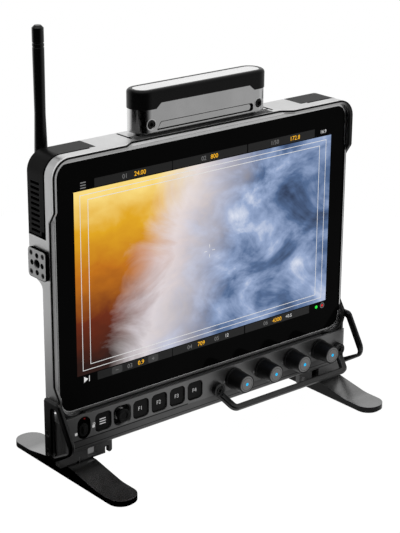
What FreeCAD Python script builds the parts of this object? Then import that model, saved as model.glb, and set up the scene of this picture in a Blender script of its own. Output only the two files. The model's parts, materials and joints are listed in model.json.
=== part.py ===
import FreeCAD, Part
import math
import os

from FreeCAD import Placement, Rotation, Vector

# Camera field monitor on two feet, in millimetres.
# +X is to the right of someone facing the screen, +Y points away from them, +Z is up.
# The origin is on the table, half way along the feet and midway between them.

# Clearances and cuts
overrun = 2.0
fit_gap = 0.1
run_gap = 0.05

# Screen
active_width = 217.0
active_height = 135.6
glass_front_y = -4.15
glass_border_side = 12.5
glass_border_top = 12.4
glass_border_bottom = 15.2
glass_radius = 8.0
glass_thick = 1.8
module_border = 4.5

# Front bezel
bezel_face = 2.0
bezel_ledge = 4.0
bezel_proud = 0.2

# Chassis
groove = 0.5
chassis_wall = 2.0
chassis_depth = 24.5
tray_depth = 9.2
middle_wall = 1.8
lip_proud = 1.2
lip_setback = 2.5
lip_upper_drop = 33.0
lip_lower_rise = 15.5
lip_top_inset = 55.5
lip_bottom_inset = 13.5
lip_slope = 7.5
gasket_thick = 0.8
gasket_lip_thick = 2.2
step_inner_rise = 1.5
step_outer_rise = 8.0
step_inner_radius = 5.0
step_outer_radius = 1.5

# Rear compartment
cover_rim = 5.0
cover_ledge = 3.0
cover_thick = 2.0
cover_radius = 7.0
cover_screw_inset = 2.0
cover_screw_x_shares = (-0.95, -0.32, 0.32, 0.95)
board_width = 120.0
board_edge_gap = 4.35
board_thick = 1.6
boss_height = 1.5
boss_radius = 3.0
boss_inset = 5.0
sink_width = 56.0
sink_height = 36.0
sink_base = 2.0
sink_fin_height = 6.0
sink_fin_thick = 1.4
sink_fin_count = 11

# Fan
fan_size = 40.0
fan_depth = 10.0
fan_radius = 3.0
fan_inset = 52.5
fan_bore_radius = 18.6
fan_hub_radius = 8.0
fan_pin_radius = 1.0
fan_floor = 1.2
fan_spoke_width = 3.0
fan_spoke_count = 3
fan_rotor_depth = 7.6
fan_tip_gap = 0.6
fan_blade_count = 7
fan_blade_thick = 0.9
fan_blade_angle = 38.0
grille_slot_count = 9
grille_slot_width = 2.0
grille_pitch = 4.0
grille_land = 1.0

# Corner caps
cap_thick = 2.0
cap_front_setback = 7.2
cap_side_drop = 51.0
cap_top_length = 39.5
cap_corner_radius = 3.0
vent_slot_count = 10
vent_slot_pitch = 3.4
vent_slot_height = 1.9
vent_slot_length = 9.5
vent_slot_drop = 17.0
vent_slot_setback = 11.6

# Ribbed vent strips
rib_pitch = 1.6
rib_depth = 0.8
rib_land_share = 0.55
strip_thick = 1.6
top_strip_half = 57.0
top_strip_front = 3.0
top_strip_depth = 6.8

# Accessory plate on the left side
plate_size = 18.6
plate_thick = 2.0
plate_radius = 2.2
plate_centre_setback = 13.5
plate_centre_rise = 15.4
thread_radius = 2.6
thread_depth = 6.0
thread_mouth_radius = 3.1
thread_mouth_depth = 0.5
pin_hole_radius = 1.5
pin_circle_radius = 5.5
plate_screw_offset = 6.2

# Small screws
small_head_radius = 1.6
small_head_height = 1.2
small_shank_radius = 0.9
small_shank_length = 1.6

# Rear jacks
jack_rise = 22.0
jack_offsets = (74.0, 52.0)
jack_flange_radius = 7.0
jack_flange = 1.5
jack_barrel_radius = 4.8
jack_length = 11.0
jack_lug_radius = 0.9
jack_lug_reach = 6.4
jack_lug_share = 0.62
jack_bore_radius = 3.6
jack_bore_depth = 2.0
jack_pin_radius = 1.0
jack_pin_drop = 0.4
jack_spigot_radius = 4.0
power_offset = 28.0
power_radius = 8.0
power_bore_radius = 5.6
power_length = 6.0
power_recess = 2.0

# Antenna
antenna_inset = 10.5
antenna_drop = 18.7
antenna_setback = 7.0
antenna_length = 93.0
connector_radius = 5.4
connector_flange = 0.6
stub_radius = 2.0
stub_length = 2.2
knuckle_radius = 4.8
knuckle_disc = 1.7
knuckle_gap = 0.1
clevis_radius = 4.0
clevis_slot_half = 2.1
tongue_half = 2.0
tongue_radius = 3.1
hinge_pin_radius = 1.0
whip_base_height = 5.0
whip_base_radius = 4.45
whip_neck_radius = 3.5
whip_tip_radius = 3.7
whip_flare_share = 0.375
whip_head_share = 0.8
whip_ring_depth = 0.4
whip_ring_width = 0.8
whip_ring_shares = (0.845, 0.873)
whip_dome = 1.6

# Receiver on the top edge
receiver_centre_x = 0.9
receiver_length = 109.3
receiver_depth = 20.0
receiver_front_setback = 5.0
receiver_end_share = 0.485
neck_half = 50.0
neck_front = 6.0
neck_depth = 11.0
neck_height = 1.8
receiver_height = 27.2
receiver_skirt = 12.2
receiver_tab_height = 3.4
receiver_tab_half = 41.0
receiver_tab_slope = 4.0
receiver_tab_thick = 2.4
receiver_inset = 0.4
receiver_crown = 2.4
receiver_well_inset = 3.6
receiver_well_depth = 0.5
receiver_wall = 3.0
receiver_floor = 2.5
receiver_board_thick = 1.6
latch_height = 4.0
latch_lift = 1.9
latch_half = 40.0
latch_depth = 3.0
latch_gap = 0.4
latch_low_gap = 0.9
latch_end_gap = 2.4
latch_slant = 3.0
latch_radius = 1.8
hex_head_radius = 2.6
hex_head_height = 2.0
hex_shank_radius = 1.4
hex_shank_length = 4.0
hex_sink_radius = 2.8
hex_mouth = 0.4
receiver_screw_gap = 5.0
receiver_screw_lift = 5.3
rail_slot_offset = 59.0
rail_slot_width = 1.5
rail_slot_length = 16.0
rail_slot_front = 7.0
rail_slot_depth = 0.8

# Control panel
panel_forward = 5.3
panel_depth = 16.3
panel_height = 23.0
panel_face_wall = 3.0
panel_end_radius = 4.0
panel_lip_height = 2.0
panel_lip_thick = 1.8
panel_bottom_chamfer = 1.6
panel_end_wall = 6.0
panel_floor = 2.6
panel_roof = 1.2
panel_strip_inset = 21.5
panel_strip_wall = 0.9
panel_strip_setback = 6.6
back_rim = 1.4
back_thick = 2.0
control_row_drop = 7.0
circuit_setback = 7.7
circuit_thick = 1.6

# Keys
key_first_share = 0.7378
key_pitch_share = 0.1219
key_share = 0.8
key_radius = 2.8
key_gap = 0.4
key_recess = 0.8
key_thick = 2.5
key_crown = 0.4
key_travel = 1.2
key_stem_radius = 1.5
switch_size = 6.0
switch_thick = 1.4
switch_gap = 0.1

# Joystick
stick_hole = 12.5
stick_flare = 0.8
stick_base_size = 11.4
stick_bowl_radius = 4.7
stick_bowl_depth = 3.7
stick_pivot_depth = 1.3
ring_radius = 4.2
ring_bore_radius = 2.9
ring_thick = 2.0
ring_pin_radius = 0.6
ring_pin_reach = 5.4
stick_radius = 1.3
stick_tail = 1.0
stick_pin_radius = 0.55
stick_pin_reach = 3.9
stick_cap_radius = 4.6
stick_cap_thick = 2.2
stick_cap_lift = 4.2
stick_cap_dish = 0.5
stick_dish_radius = 2.8

# Lock slider
lock_width = 9.0
lock_height = 14.0
lock_depth = 1.6
lock_thumb_width = 6.6
lock_thumb_height = 8.8
lock_thumb_thick = 1.3
lock_ridge_width = 1.8
lock_ridge_height = 1.0
lock_travel = 3.5
lock_neck = 3.0
lock_neck_gap = 0.2
lock_keeper = 6.0
lock_keeper_thick = 1.0
lock_float = 0.1

# Knobs
knob_first_share = 0.1402
knob_pitch_share = 0.2135
knob_count = 4
knob_length = 14.7
knob_lift = 0.5
knob_skirt_radius = 7.4
knob_skirt_height = 1.6
knob_base_radius = 7.0
knob_tip_radius = 6.3
knob_cap_radius = 5.6
knob_cap_thick = 1.6
knob_cap_rim = 0.3
shaft_radius = 3.0
shaft_tip_gap = 0.4
bush_radius = 3.6
bush_reach = 1.2
bush_clear = 0.4
encoder_size = 11.0
shaft_tail = 4.0

# Guard bar
guard_left_reach = 14.5
guard_right_reach = 18.2
guard_ear_drop = 11.3
guard_ear_radius = 4.6
guard_ear_thick = 3.6
guard_section = 4.0
guard_leg_width = 5.4
guard_lean = 5.0
guard_edge = 0.9
guard_start_drop = 2.6
guard_reach = 14.4
guard_angle = 36.0
guard_bend_radius = 6.0
guard_inner_radius = 2.0

# Side brackets
bracket_thick = 3.4
bracket_height = 41.5
bracket_depth = 33.0
bracket_rear_setback = 9.3
bracket_drop = 3.5
bracket_edge = 1.0
bracket_shares = (
    (0.0, 0.0, 0.05),
    (0.345, 0.0, 0.2),
    (1.0, 0.33, 0.2),
    (0.488, 1.0, 0.1),
    (0.0, 1.0, 0.05),
)
bracket_window_shares = (
    (0.264, 0.07, 0.04),
    (0.824, 0.31, 0.07),
    (0.4, 0.875, 0.05),
    (0.264, 0.875, 0.05),
)
bracket_screw_shares = ((0.122, 0.12), (0.122, 0.43))
bracket_head_radius = 2.2
bracket_head_height = 1.6
bracket_shank_radius = 1.2
bracket_shank_length = 3.2

# Foot mounts
mount_height = 9.2
mount_length = 42.2
mount_front_setback = 1.75
mount_web = 3.4
mount_depth = 14.0
mount_flange = 1.6
mount_window_offset = 16.0
mount_window = 7.0
mount_window_radius = 1.0
mount_slot_offset = 4.0
mount_slot_width = 3.1
mount_slot_height = 5.0
mount_corner = 1.8
mount_groove = 1.0
mount_rib = 1.0
mount_flange_inset = 1.0

# Feet
foot_length = 119.5
foot_outer_inset = 6.0
foot_width = 20.7
foot_tip_share = 0.48
foot_thick = 3.7
foot_rise = 4.8
foot_flat_share = 0.31
foot_hump_share = 0.08
foot_flat_radius = 40.0
foot_hump_radius = 12.0
pad_thick = 1.0
pad_inset = 1.2
foot_screw_y = 4.4
foot_head_radius = 2.8
foot_head_height = 1.8
foot_head_lift = 2.8
foot_shank_radius = 1.4

# Places that follow from the sizes above
mount_bottom_z = pad_thick + foot_thick + foot_rise
panel_bottom_z = mount_bottom_z + mount_height
panel_top_z = panel_bottom_z + panel_height
glass_half = active_width / 2 + glass_border_side
rim = bezel_face + groove + chassis_wall
glass_bottom = panel_top_z + rim
screen_centre_z = glass_bottom + glass_border_bottom + active_height / 2
glass_top = screen_centre_z + active_height / 2 + glass_border_top
chassis_half = glass_half + rim
chassis_top = glass_top + rim
chassis_bottom = glass_bottom - rim
chassis_radius = glass_radius + rim
tray_edge = bezel_face + groove
lip_upper_z = chassis_top - lip_upper_drop
lip_lower_z = chassis_bottom + lip_lower_rise
lip_top_half = chassis_half - lip_top_inset
lip_bottom_half = chassis_half - lip_bottom_inset
step_inner_z = screen_centre_z + step_inner_rise
step_outer_z = screen_centre_z + step_outer_rise
plate_centre_z = screen_centre_z + plate_centre_rise
jack_z = screen_centre_z + jack_rise
antenna_z = chassis_top - antenna_drop
lip_front_y = glass_front_y - lip_proud
setback_front_y = glass_front_y + lip_setback
tray_back_y = glass_front_y + tray_depth
slim_rear_y = tray_back_y + middle_wall
chassis_rear_y = glass_front_y + chassis_depth
cover_half = chassis_half - cover_rim
cover_top = chassis_top - cover_rim
cover_bottom = step_outer_z + cover_rim
cover_centre_z = (cover_top + cover_bottom) / 2
board_height = cover_top - cover_bottom - 2 * (cover_ledge + board_edge_gap)
fan_centre_x = cover_half - fan_inset
board_centre_x = (fan_centre_x - fan_size / 2 - cover_half + cover_ledge) / 2
jack_xs = [fan_centre_x - offset for offset in jack_offsets]
power_x = fan_centre_x - power_offset
antenna_x = antenna_inset - cover_half
cover_front_y = chassis_rear_y - cover_thick
board_front_y = slim_rear_y + boss_height
board_rear_y = board_front_y + board_thick
panel_face_y = glass_front_y - panel_forward
panel_rear_y = panel_face_y + panel_depth
panel_inner_y = panel_face_y + panel_face_wall
control_row_z = panel_top_z - control_row_drop
circuit_front_y = panel_inner_y + circuit_setback - panel_face_wall
panel_strip_half = chassis_half - panel_strip_inset
key_pitch = chassis_half * key_pitch_share
key_size = key_pitch * key_share
key_first_x = -chassis_half * key_first_share
knob_pitch = chassis_half * knob_pitch_share
knob_first_x = chassis_half * knob_first_share
guard_left_x = knob_first_x - guard_left_reach
guard_right_x = knob_first_x + (knob_count - 1) * knob_pitch + guard_right_reach
menu_x = key_first_x
joystick_x = key_first_x + key_pitch
lock_x = key_first_x - key_pitch
function_first_x = joystick_x + key_pitch
guard_ear_z = panel_top_z - guard_ear_drop
receiver_front_y = glass_front_y + receiver_front_setback
receiver_centre_y = receiver_front_y + receiver_depth / 2
receiver_screw_offset = latch_half + receiver_screw_gap
receiver_bottom_z = chassis_top + neck_height
receiver_skirt_z = receiver_bottom_z + receiver_height - receiver_skirt
receiver_top_z = receiver_bottom_z + receiver_height
mount_top_z = panel_bottom_z
mount_inner_x = chassis_half - mount_length
mount_window_x = mount_inner_x + mount_window_offset
mount_slot_x = mount_inner_x + mount_slot_offset
foot_outer_x = chassis_half - foot_outer_inset
foot_inner_x = foot_outer_x - foot_width
foot_screw_x = (foot_inner_x + foot_outer_x) / 2
bracket_bottom_z = panel_bottom_z - bracket_drop
mount_front_y = glass_front_y - mount_front_setback
antenna_y = chassis_rear_y + antenna_setback
stick_pivot_y = panel_inner_y + stick_pivot_depth

PLANES = {
    "xy": (Vector(1, 0, 0), Vector(0, 1, 0), Vector(0, 0, 1)),
    "xz": (Vector(1, 0, 0), Vector(0, 0, 1), Vector(0, 1, 0)),
    "yz": (Vector(0, 1, 0), Vector(0, 0, 1), Vector(1, 0, 0)),
}
LEFT = Vector(-1, 0, 0)
FRONT = Vector(0, -1, 0)
REAR = Vector(0, 1, 0)
UP = Vector(0, 0, 1)


def outline(corners, plane):
    """A closed wire through corners (u, v, radius), with an arc at each corner that has a radius."""
    across, along, _ = PLANES[plane]
    points = [across * u + along * v for u, v, _ in corners]
    stretches = []
    for i, (_, _, radius) in enumerate(corners):
        here = points[i]
        back = (points[i - 1] - here).normalize()
        ahead = (points[(i + 1) % len(points)] - here).normalize()
        half = back.getAngle(ahead) / 2
        setback = radius / math.tan(half)
        middle = (back + ahead).normalize() * (radius / math.sin(half) - radius)
        stretches.append((here + back * setback, here + middle, here + ahead * setback, radius))
    edges = []
    for i, (start, middle, end, radius) in enumerate(stretches):
        before = stretches[i - 1][2]
        if before.distanceToPoint(start) > FreeCAD.Base.Precision.confusion():
            edges.append(Part.LineSegment(before, start).toShape())
        if radius:
            edges.append(Part.Arc(start, middle, end).toShape())
    return Part.Wire(edges)


def prism(corners, plane, start, end):
    """The outline carried along its plane's normal from start to end."""
    normal = PLANES[plane][2]
    face = Part.Face(outline(corners, plane))
    face.translate(normal * start)
    return face.extrude(normal * (end - start))


def rectangle(u0, u1, v0, v1, radius=0):
    """The four corners of a rectangle, all with one radius."""
    return [(u0, v0, radius), (u1, v0, radius), (u1, v1, radius), (u0, v1, radius)]


def block(x0, x1, y0, y1, z0, z1):
    """A plain box between two corners."""
    return Part.makeBox(x1 - x0, y1 - y0, z1 - z0, Vector(x0, y0, z0))


def rod(radius, start, end):
    """A round bar between two points."""
    return Part.makeCylinder(radius, start.distanceToPoint(end), start, end - start)


def turned(steps, base, direction):
    """A solid turned from steps (distance along the axis, radius), set at base along direction."""
    points = [Vector(0, 0, steps[0][0])]
    points += [Vector(radius, 0, distance) for distance, radius in steps if radius]
    points += [Vector(0, 0, steps[-1][0]), points[0]]
    solid = Part.Face(Part.makePolygon(points)).revolve(Vector(0, 0, 0), UP, 360)
    solid.Placement = Placement(base, Rotation(UP, direction))
    return solid


def screw(head_radius, head_height, shank_radius, shank_length, seat, outward):
    """A screw whose head stands on the point seat and whose shank runs the other way."""
    steps = [(-shank_length, shank_radius), (0, shank_radius), (0, head_radius), (head_height, head_radius)]
    return turned(steps, seat, outward)


def screw_hole(shank_radius, shank_length, seat, outward):
    """The clearance hole of a screw that sits on the point seat."""
    return rod(shank_radius + fit_gap, seat + outward * overrun, seat - outward * (shank_length + fit_gap))


def comb(half, base_z, top_z, y0, y1):
    """A strip across X whose top is cut into ribs that run along Y."""
    count = int(2 * half / rib_pitch)
    first = -count * rib_pitch / 2
    land = rib_pitch * rib_land_share
    groove_z = top_z - rib_depth
    corners = [(-half, base_z, 0), (half, base_z, 0), (half, groove_z, 0)]
    for i in reversed(range(count)):
        left = first + i * rib_pitch + (rib_pitch - land) / 2
        right = left + land
        corners += [(right, groove_z, 0), (right, top_z, 0), (left, top_z, 0), (left, groove_z, 0)]
    corners.append((-half, groove_z, 0))
    return prism(corners, "xz", y0, y1)


def mirrored(shape):
    """The same shape on the other side of the middle plane."""
    return shape.mirror(Vector(0, 0, 0), Vector(1, 0, 0))


def screen_outline(grow):
    """The screen's rounded rectangle, grown by an edge width."""
    return rectangle(
        -glass_half - grow, glass_half + grow, glass_bottom - grow, glass_top + grow, glass_radius + grow
    )


def front_cuts(lip_layer, middle_layer):
    """What is taken off the front edge between the corner lips, left thicker by the given layers."""
    lip = lip_front_y - lip_layer
    back = setback_front_y - middle_layer
    ahead = lip - overrun
    side = [
        (back, lip_lower_z + lip_slope, 0),
        (back, lip_upper_z - lip_slope, 0),
        (lip, lip_upper_z, 0),
        (ahead, lip_upper_z, 0),
        (ahead, lip_lower_z, 0),
        (lip, lip_lower_z, 0),
    ]
    cuts = [prism(side, "yz", -chassis_half - overrun, chassis_half + overrun)]
    edges = (
        (lip_top_half, chassis_top - chassis_radius, chassis_top + overrun),
        (lip_bottom_half, chassis_bottom - overrun, chassis_bottom + chassis_radius),
    )
    for half, z0, z1 in edges:
        corners = [
            (-half + lip_slope, back, 0),
            (-half, lip, 0),
            (-half, ahead, 0),
            (half, ahead, 0),
            (half, lip, 0),
            (half - lip_slope, back, 0),
        ]
        cuts.append(prism(corners, "xy", z0, z1))
    return cuts


def cap_region(side, grow):
    """The space of a corner cap: down the side and along the top, behind its front edge."""
    front = glass_front_y + cap_front_setback - grow
    rear = chassis_rear_y + overrun
    bottom = chassis_top - cap_side_drop - grow
    radius = cap_corner_radius
    top = chassis_top + overrun
    flank = [(front, bottom, radius), (rear, bottom, radius), (rear, top, 0), (front, top, 0)]
    outer = chassis_half + overrun
    inner = chassis_half - cap_thick - grow
    down = prism(flank, "yz", inner, outer)
    shelf_end = chassis_half - cap_top_length - grow
    shelf = [(shelf_end, front, 0), (outer, front, 0), (outer, rear, 0), (shelf_end, rear, radius)]
    along = prism(shelf, "xy", chassis_top - cap_thick - grow, top)
    bend_edge = chassis_half - chassis_radius
    bend = block(bend_edge, outer, front, rear, chassis_top - chassis_radius, top)
    inside = prism(shell_outline(cap_thick + grow), "xz", front - overrun, rear + overrun)
    shape = down.fuse([along, bend]).cut(inside)
    return shape if side > 0 else mirrored(shape)


def shell_outline(inset):
    """The chassis outline, drawn in by inset."""
    return rectangle(
        -chassis_half + inset,
        chassis_half - inset,
        chassis_bottom + inset,
        chassis_top - inset,
        chassis_radius - inset,
    )


def cover_outline(inset):
    """The rear cover's rounded rectangle, drawn in by inset."""
    return rectangle(
        -cover_half + inset, cover_half - inset, cover_bottom + inset, cover_top - inset, cover_radius - inset
    )


def cover_screw_seats():
    """Where the rear cover's screws sit, along its upper and lower edges."""
    reach = cover_half - cover_screw_inset
    y = chassis_rear_y - small_head_height
    seats = []
    for z in (cover_bottom + cover_screw_inset, cover_top - cover_screw_inset):
        seats += [Vector(reach * share, y, z) for share in cover_screw_x_shares]
    return seats


def plate_screw_seats():
    """Where the accessory plate's four screws sit."""
    x = -chassis_half - plate_thick + small_head_height
    y = glass_front_y + plate_centre_setback
    offset = plate_screw_offset
    return [Vector(x, y + i * offset, plate_centre_z + j * offset) for i in (-1, 1) for j in (-1, 1)]


def plate_axis(depth):
    """A point on the accessory plate's axis, depth inside its outer face."""
    return Vector(-chassis_half - plate_thick + depth, glass_front_y + plate_centre_setback, plate_centre_z)


def rail_slots():
    """The two slots in the top face, one at each end of the receiver."""
    front = glass_front_y + rail_slot_front
    half = rail_slot_width / 2
    slots = []
    for side in (-1, 1):
        x = receiver_centre_x + side * rail_slot_offset
        corners = rectangle(x - half, x + half, front, front + rail_slot_length, half - fit_gap)
        slots.append(prism(corners, "xy", chassis_top - rail_slot_depth, chassis_top + overrun))
    return slots


def board_bosses():
    """The four bosses that carry the main board."""
    bosses = []
    for i in (-1, 1):
        for j in (-1, 1):
            x = board_centre_x + i * (board_width / 2 - boss_inset)
            z = cover_centre_z + j * (board_height / 2 - boss_inset)
            bosses.append(rod(boss_radius, Vector(x, slim_rear_y, z), Vector(x, board_front_y, z)))
    return bosses


def chassis():
    """The metal frame: screen tray in front, rear compartment behind, steps, lips and screw holes."""
    body = prism(shell_outline(0), "xz", lip_front_y, chassis_rear_y)
    step = [
        (slim_rear_y, chassis_bottom - overrun, 0),
        (slim_rear_y, step_inner_z, step_inner_radius),
        (chassis_rear_y, step_outer_z, step_outer_radius),
        (chassis_rear_y + overrun, step_outer_z, 0),
        (chassis_rear_y + overrun, chassis_bottom - overrun, 0),
    ]
    cuts = front_cuts(0, 0)
    cuts.append(prism(step, "yz", -chassis_half - overrun, chassis_half + overrun))
    cuts.append(prism(screen_outline(tray_edge), "xz", lip_front_y - overrun, tray_back_y))
    cuts.append(prism(cover_outline(cover_ledge), "xz", slim_rear_y, chassis_rear_y + overrun))
    cuts.append(prism(cover_outline(0), "xz", cover_front_y, chassis_rear_y + overrun))
    cuts += [cap_region(side, fit_gap) for side in (-1, 1)]
    strip_front = glass_front_y + top_strip_front
    cuts.append(
        block(
            -top_strip_half - fit_gap,
            top_strip_half + fit_gap,
            strip_front - fit_gap,
            strip_front + top_strip_depth + fit_gap,
            chassis_top - strip_thick,
            chassis_top + overrun,
        )
    )
    cuts += rail_slots()
    cuts.append(rod(thread_radius, plate_axis(0), plate_axis(plate_thick + thread_depth)))
    cuts += [screw_hole(small_shank_radius, small_shank_length, seat, LEFT) for seat in plate_screw_seats()]
    cuts += [screw_hole(small_shank_radius, small_shank_length, seat, REAR) for seat in cover_screw_seats()]
    return body.cut(cuts).fuse(board_bosses()).removeSplitter()


def edge_gasket():
    """The rubber edge on the chassis front, thicker over the corner lips."""
    depth = setback_front_y + overrun
    front = lip_front_y - gasket_lip_thick
    outer = prism(shell_outline(0), "xz", front, depth)
    ring = outer.cut(prism(screen_outline(tray_edge), "xz", front - overrun, depth + overrun))
    behind = prism(shell_outline(-overrun), "xz", lip_front_y, depth + overrun).cut(front_cuts(0, 0))
    return ring.cut(front_cuts(gasket_lip_thick, gasket_thick)).cut(behind)


def front_bezel():
    """The bright frame round the glass, with the ledge that carries it."""
    front = glass_front_y - bezel_proud
    frame = prism(screen_outline(bezel_face), "xz", front, tray_back_y)
    seat = prism(screen_outline(fit_gap), "xz", front - overrun, glass_front_y + glass_thick)
    hole = prism(screen_outline(-bezel_ledge), "xz", front - overrun, tray_back_y + overrun)
    return frame.cut([seat, hole])


def cover_glass():
    """The flat cover glass."""
    return prism(screen_outline(0), "xz", glass_front_y, glass_front_y + glass_thick)


def lcd_module():
    """The screen panel with its backlight, behind the glass."""
    half = active_width / 2 + module_border
    low = screen_centre_z - active_height / 2 - module_border
    high = screen_centre_z + active_height / 2 + module_border
    front = glass_front_y + glass_thick
    return prism(rectangle(-half, half, low, high, module_border / 2), "xz", front, tray_back_y)


def main_board():
    """The main board on its bosses."""
    half = board_width / 2
    tall = board_height / 2
    left, right = board_centre_x - half, board_centre_x + half
    low, high = cover_centre_z - tall, cover_centre_z + tall
    return prism(rectangle(left, right, low, high, boss_radius / 2), "xz", board_front_y, board_rear_y)


def heat_sink():
    """The finned heat sink on the main board."""
    tall = sink_height / 2
    low, high = cover_centre_z - tall, cover_centre_z + tall
    left = board_centre_x - sink_width / 2
    pitch = (sink_width - sink_fin_thick) / (sink_fin_count - 1)
    base_rear = board_rear_y + sink_base
    base = block(left, left + sink_width, board_rear_y, base_rear, low, high)
    fins = []
    for i in range(sink_fin_count):
        x = left + i * pitch
        fins.append(block(x, x + sink_fin_thick, board_rear_y, base_rear + sink_fin_height, low, high))
    return base.fuse(fins).removeSplitter()


def fan_frame():
    """The fan's square frame with its hub, spokes and pin."""
    half = fan_size / 2
    centre = Vector(fan_centre_x, slim_rear_y, cover_centre_z)
    square = rectangle(-half, half, -half, half, fan_radius)
    frame = prism(square, "xz", 0, fan_depth)
    frame = frame.cut(rod(fan_bore_radius, REAR * -overrun, REAR * (fan_depth + overrun)))
    hub = rod(fan_hub_radius, Vector(0, 0, 0), REAR * fan_floor)
    pin = rod(fan_pin_radius, Vector(0, 0, 0), REAR * (fan_floor + fan_rotor_depth))
    spokes = []
    for i in range(fan_spoke_count):
        wide = fan_spoke_width / 2
        spoke = block(0, fan_bore_radius + fan_radius / 2, 0, fan_floor, -wide, wide)
        spoke.rotate(Vector(0, 0, 0), REAR, i * 360 / fan_spoke_count)
        spokes.append(spoke)
    frame = frame.fuse(spokes + [hub, pin]).removeSplitter()
    frame.translate(centre)
    return frame


def fan_rotor():
    """The fan's hub and slanted blades, round the pin."""
    start = fan_floor + fan_tip_gap
    end = fan_floor + fan_rotor_depth
    tip = fan_bore_radius - fan_tip_gap
    hub = rod(fan_hub_radius, REAR * start, REAR * end)
    sweep = rod(tip, REAR * start, REAR * end)
    middle = REAR * ((start + end) / 2)
    wide = fan_blade_thick / 2
    root = fan_hub_radius - fan_blade_thick
    blades = []
    for i in range(fan_blade_count):
        blade = block(root, tip + overrun, -fan_hub_radius, fan_hub_radius, -wide, wide)
        blade.rotate(Vector(0, 0, 0), Vector(1, 0, 0), fan_blade_angle)
        blade.translate(middle)
        blade.rotate(Vector(0, 0, 0), REAR, i * 360 / fan_blade_count)
        blades.append(blade.common(sweep))
    bore = rod(fan_pin_radius + run_gap, REAR * (start - overrun), REAR * (end + overrun))
    rotor = hub.fuse(blades).cut(bore).removeSplitter()
    rotor.translate(Vector(fan_centre_x, slim_rear_y, cover_centre_z))
    return rotor


def grille_slots():
    """The slots in the rear cover over the fan, each as long as the fan's bore is wide there."""
    slots = []
    for i in range(grille_slot_count):
        offset = (i - (grille_slot_count - 1) / 2) * grille_pitch
        reach = math.sqrt(fan_bore_radius**2 - offset**2) - grille_land
        half = grille_slot_width / 2
        low, high = cover_centre_z + offset - half, cover_centre_z + offset + half
        corners = rectangle(fan_centre_x - reach, fan_centre_x + reach, low, high, half - fit_gap)
        slots.append(prism(corners, "xz", cover_front_y - overrun, chassis_rear_y + overrun))
    return slots


def jack_places():
    """The points on the rear cover where the signal jacks stand."""
    return [Vector(x, chassis_rear_y, jack_z) for x in jack_xs]


def rear_cover():
    """The plate that closes the rear compartment."""
    plate = prism(cover_outline(fit_gap), "xz", cover_front_y, chassis_rear_y)
    cuts = grille_slots()
    holes = jack_places() + [Vector(power_x, chassis_rear_y, jack_z)]
    for place in holes:
        inner = place - REAR * (cover_thick + overrun)
        cuts.append(rod(jack_spigot_radius + fit_gap, inner, place + REAR * overrun))
    for seat in cover_screw_seats():
        cuts.append(screw_hole(small_shank_radius, small_shank_length, seat, REAR))
        cuts.append(rod(small_head_radius + fit_gap, seat, seat + REAR * overrun))
    return plate.cut(cuts)


def small_screws():
    """The screws of the rear cover and of the accessory plate."""
    sizes = (small_head_radius, small_head_height, small_shank_radius, small_shank_length)
    group = [screw(*sizes, seat, REAR) for seat in cover_screw_seats()]
    group += [screw(*sizes, seat, LEFT) for seat in plate_screw_seats()]
    return Part.makeCompound(group)


def corner_cap(side):
    """The thin cap round an upper corner; the left one has vent slots."""
    shell = prism(shell_outline(0), "xz", glass_front_y, chassis_rear_y)
    cap = shell.common(cap_region(side, 0))
    if side > 0:
        return cap
    slots = []
    front = glass_front_y + vent_slot_setback
    for i in range(vent_slot_count):
        top = chassis_top - vent_slot_drop - i * vent_slot_pitch
        corners = rectangle(
            front, front + vent_slot_length, top - vent_slot_height, top, vent_slot_height / 2 - fit_gap
        )
        slots.append(prism(corners, "yz", -chassis_half - overrun, -chassis_half + cap_thick + overrun))
    return cap.cut(slots)


def top_vent_strip():
    """The ribbed strip in the chassis top."""
    front = glass_front_y + top_strip_front
    return comb(top_strip_half, chassis_top - strip_thick, chassis_top, front, front + top_strip_depth)


def accessory_plate():
    """The plate on the left side with a thread and a ring of pin holes."""
    half = plate_size / 2
    centre_y = glass_front_y + plate_centre_setback
    corners = rectangle(
        centre_y - half, centre_y + half, plate_centre_z - half, plate_centre_z + half, plate_radius
    )
    plate = prism(corners, "yz", -chassis_half - plate_thick, -chassis_half)
    cuts = [rod(thread_radius, plate_axis(-overrun), plate_axis(plate_thick + overrun))]
    mouth = [(-overrun, thread_mouth_radius), (0, thread_mouth_radius), (thread_mouth_depth, thread_radius)]
    cuts.append(turned(mouth, plate_axis(0), Vector(1, 0, 0)))
    for turn in range(4):
        angle = turn * math.pi / 2
        shift = Vector(0, math.cos(angle), math.sin(angle)) * pin_circle_radius
        cuts.append(rod(pin_hole_radius, plate_axis(-overrun) + shift, plate_axis(plate_thick) + shift))
    for seat in plate_screw_seats():
        cuts.append(screw_hole(small_shank_radius, small_shank_length, seat, LEFT))
        cuts.append(rod(small_head_radius + fit_gap, seat, seat + LEFT * overrun))
    return plate.cut(cuts)


def rear_jacks():
    """Two signal jacks and a power socket on the rear cover."""
    group = []
    for place in jack_places():
        steps = [
            (-cover_thick, jack_spigot_radius),
            (0, jack_spigot_radius),
            (0, jack_flange_radius),
            (jack_flange, jack_flange_radius),
            (jack_flange, jack_barrel_radius),
            (jack_length, jack_barrel_radius),
        ]
        lug = place + REAR * (jack_length * jack_lug_share)
        lugs = rod(jack_lug_radius, lug - Vector(jack_lug_reach, 0, 0), lug + Vector(jack_lug_reach, 0, 0))
        tip = place + REAR * jack_length
        bore = rod(jack_bore_radius, tip - REAR * jack_bore_depth, tip + REAR * overrun)
        pin = rod(jack_pin_radius, tip - REAR * (jack_bore_depth + overrun), tip - REAR * jack_pin_drop)
        group.append(turned(steps, place, REAR).fuse(lugs).cut(bore).fuse(pin).removeSplitter())
    place = Vector(power_x, chassis_rear_y, jack_z)
    steps = [(-cover_thick, jack_spigot_radius), (0, jack_spigot_radius)]
    steps += [(0, power_radius), (power_length, power_radius)]
    tip = place + REAR * power_length
    well = rod(power_bore_radius, tip - REAR * power_recess, tip + REAR * overrun)
    group.append(turned(steps, place, REAR).cut(well))
    return Part.makeCompound(group)


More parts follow.
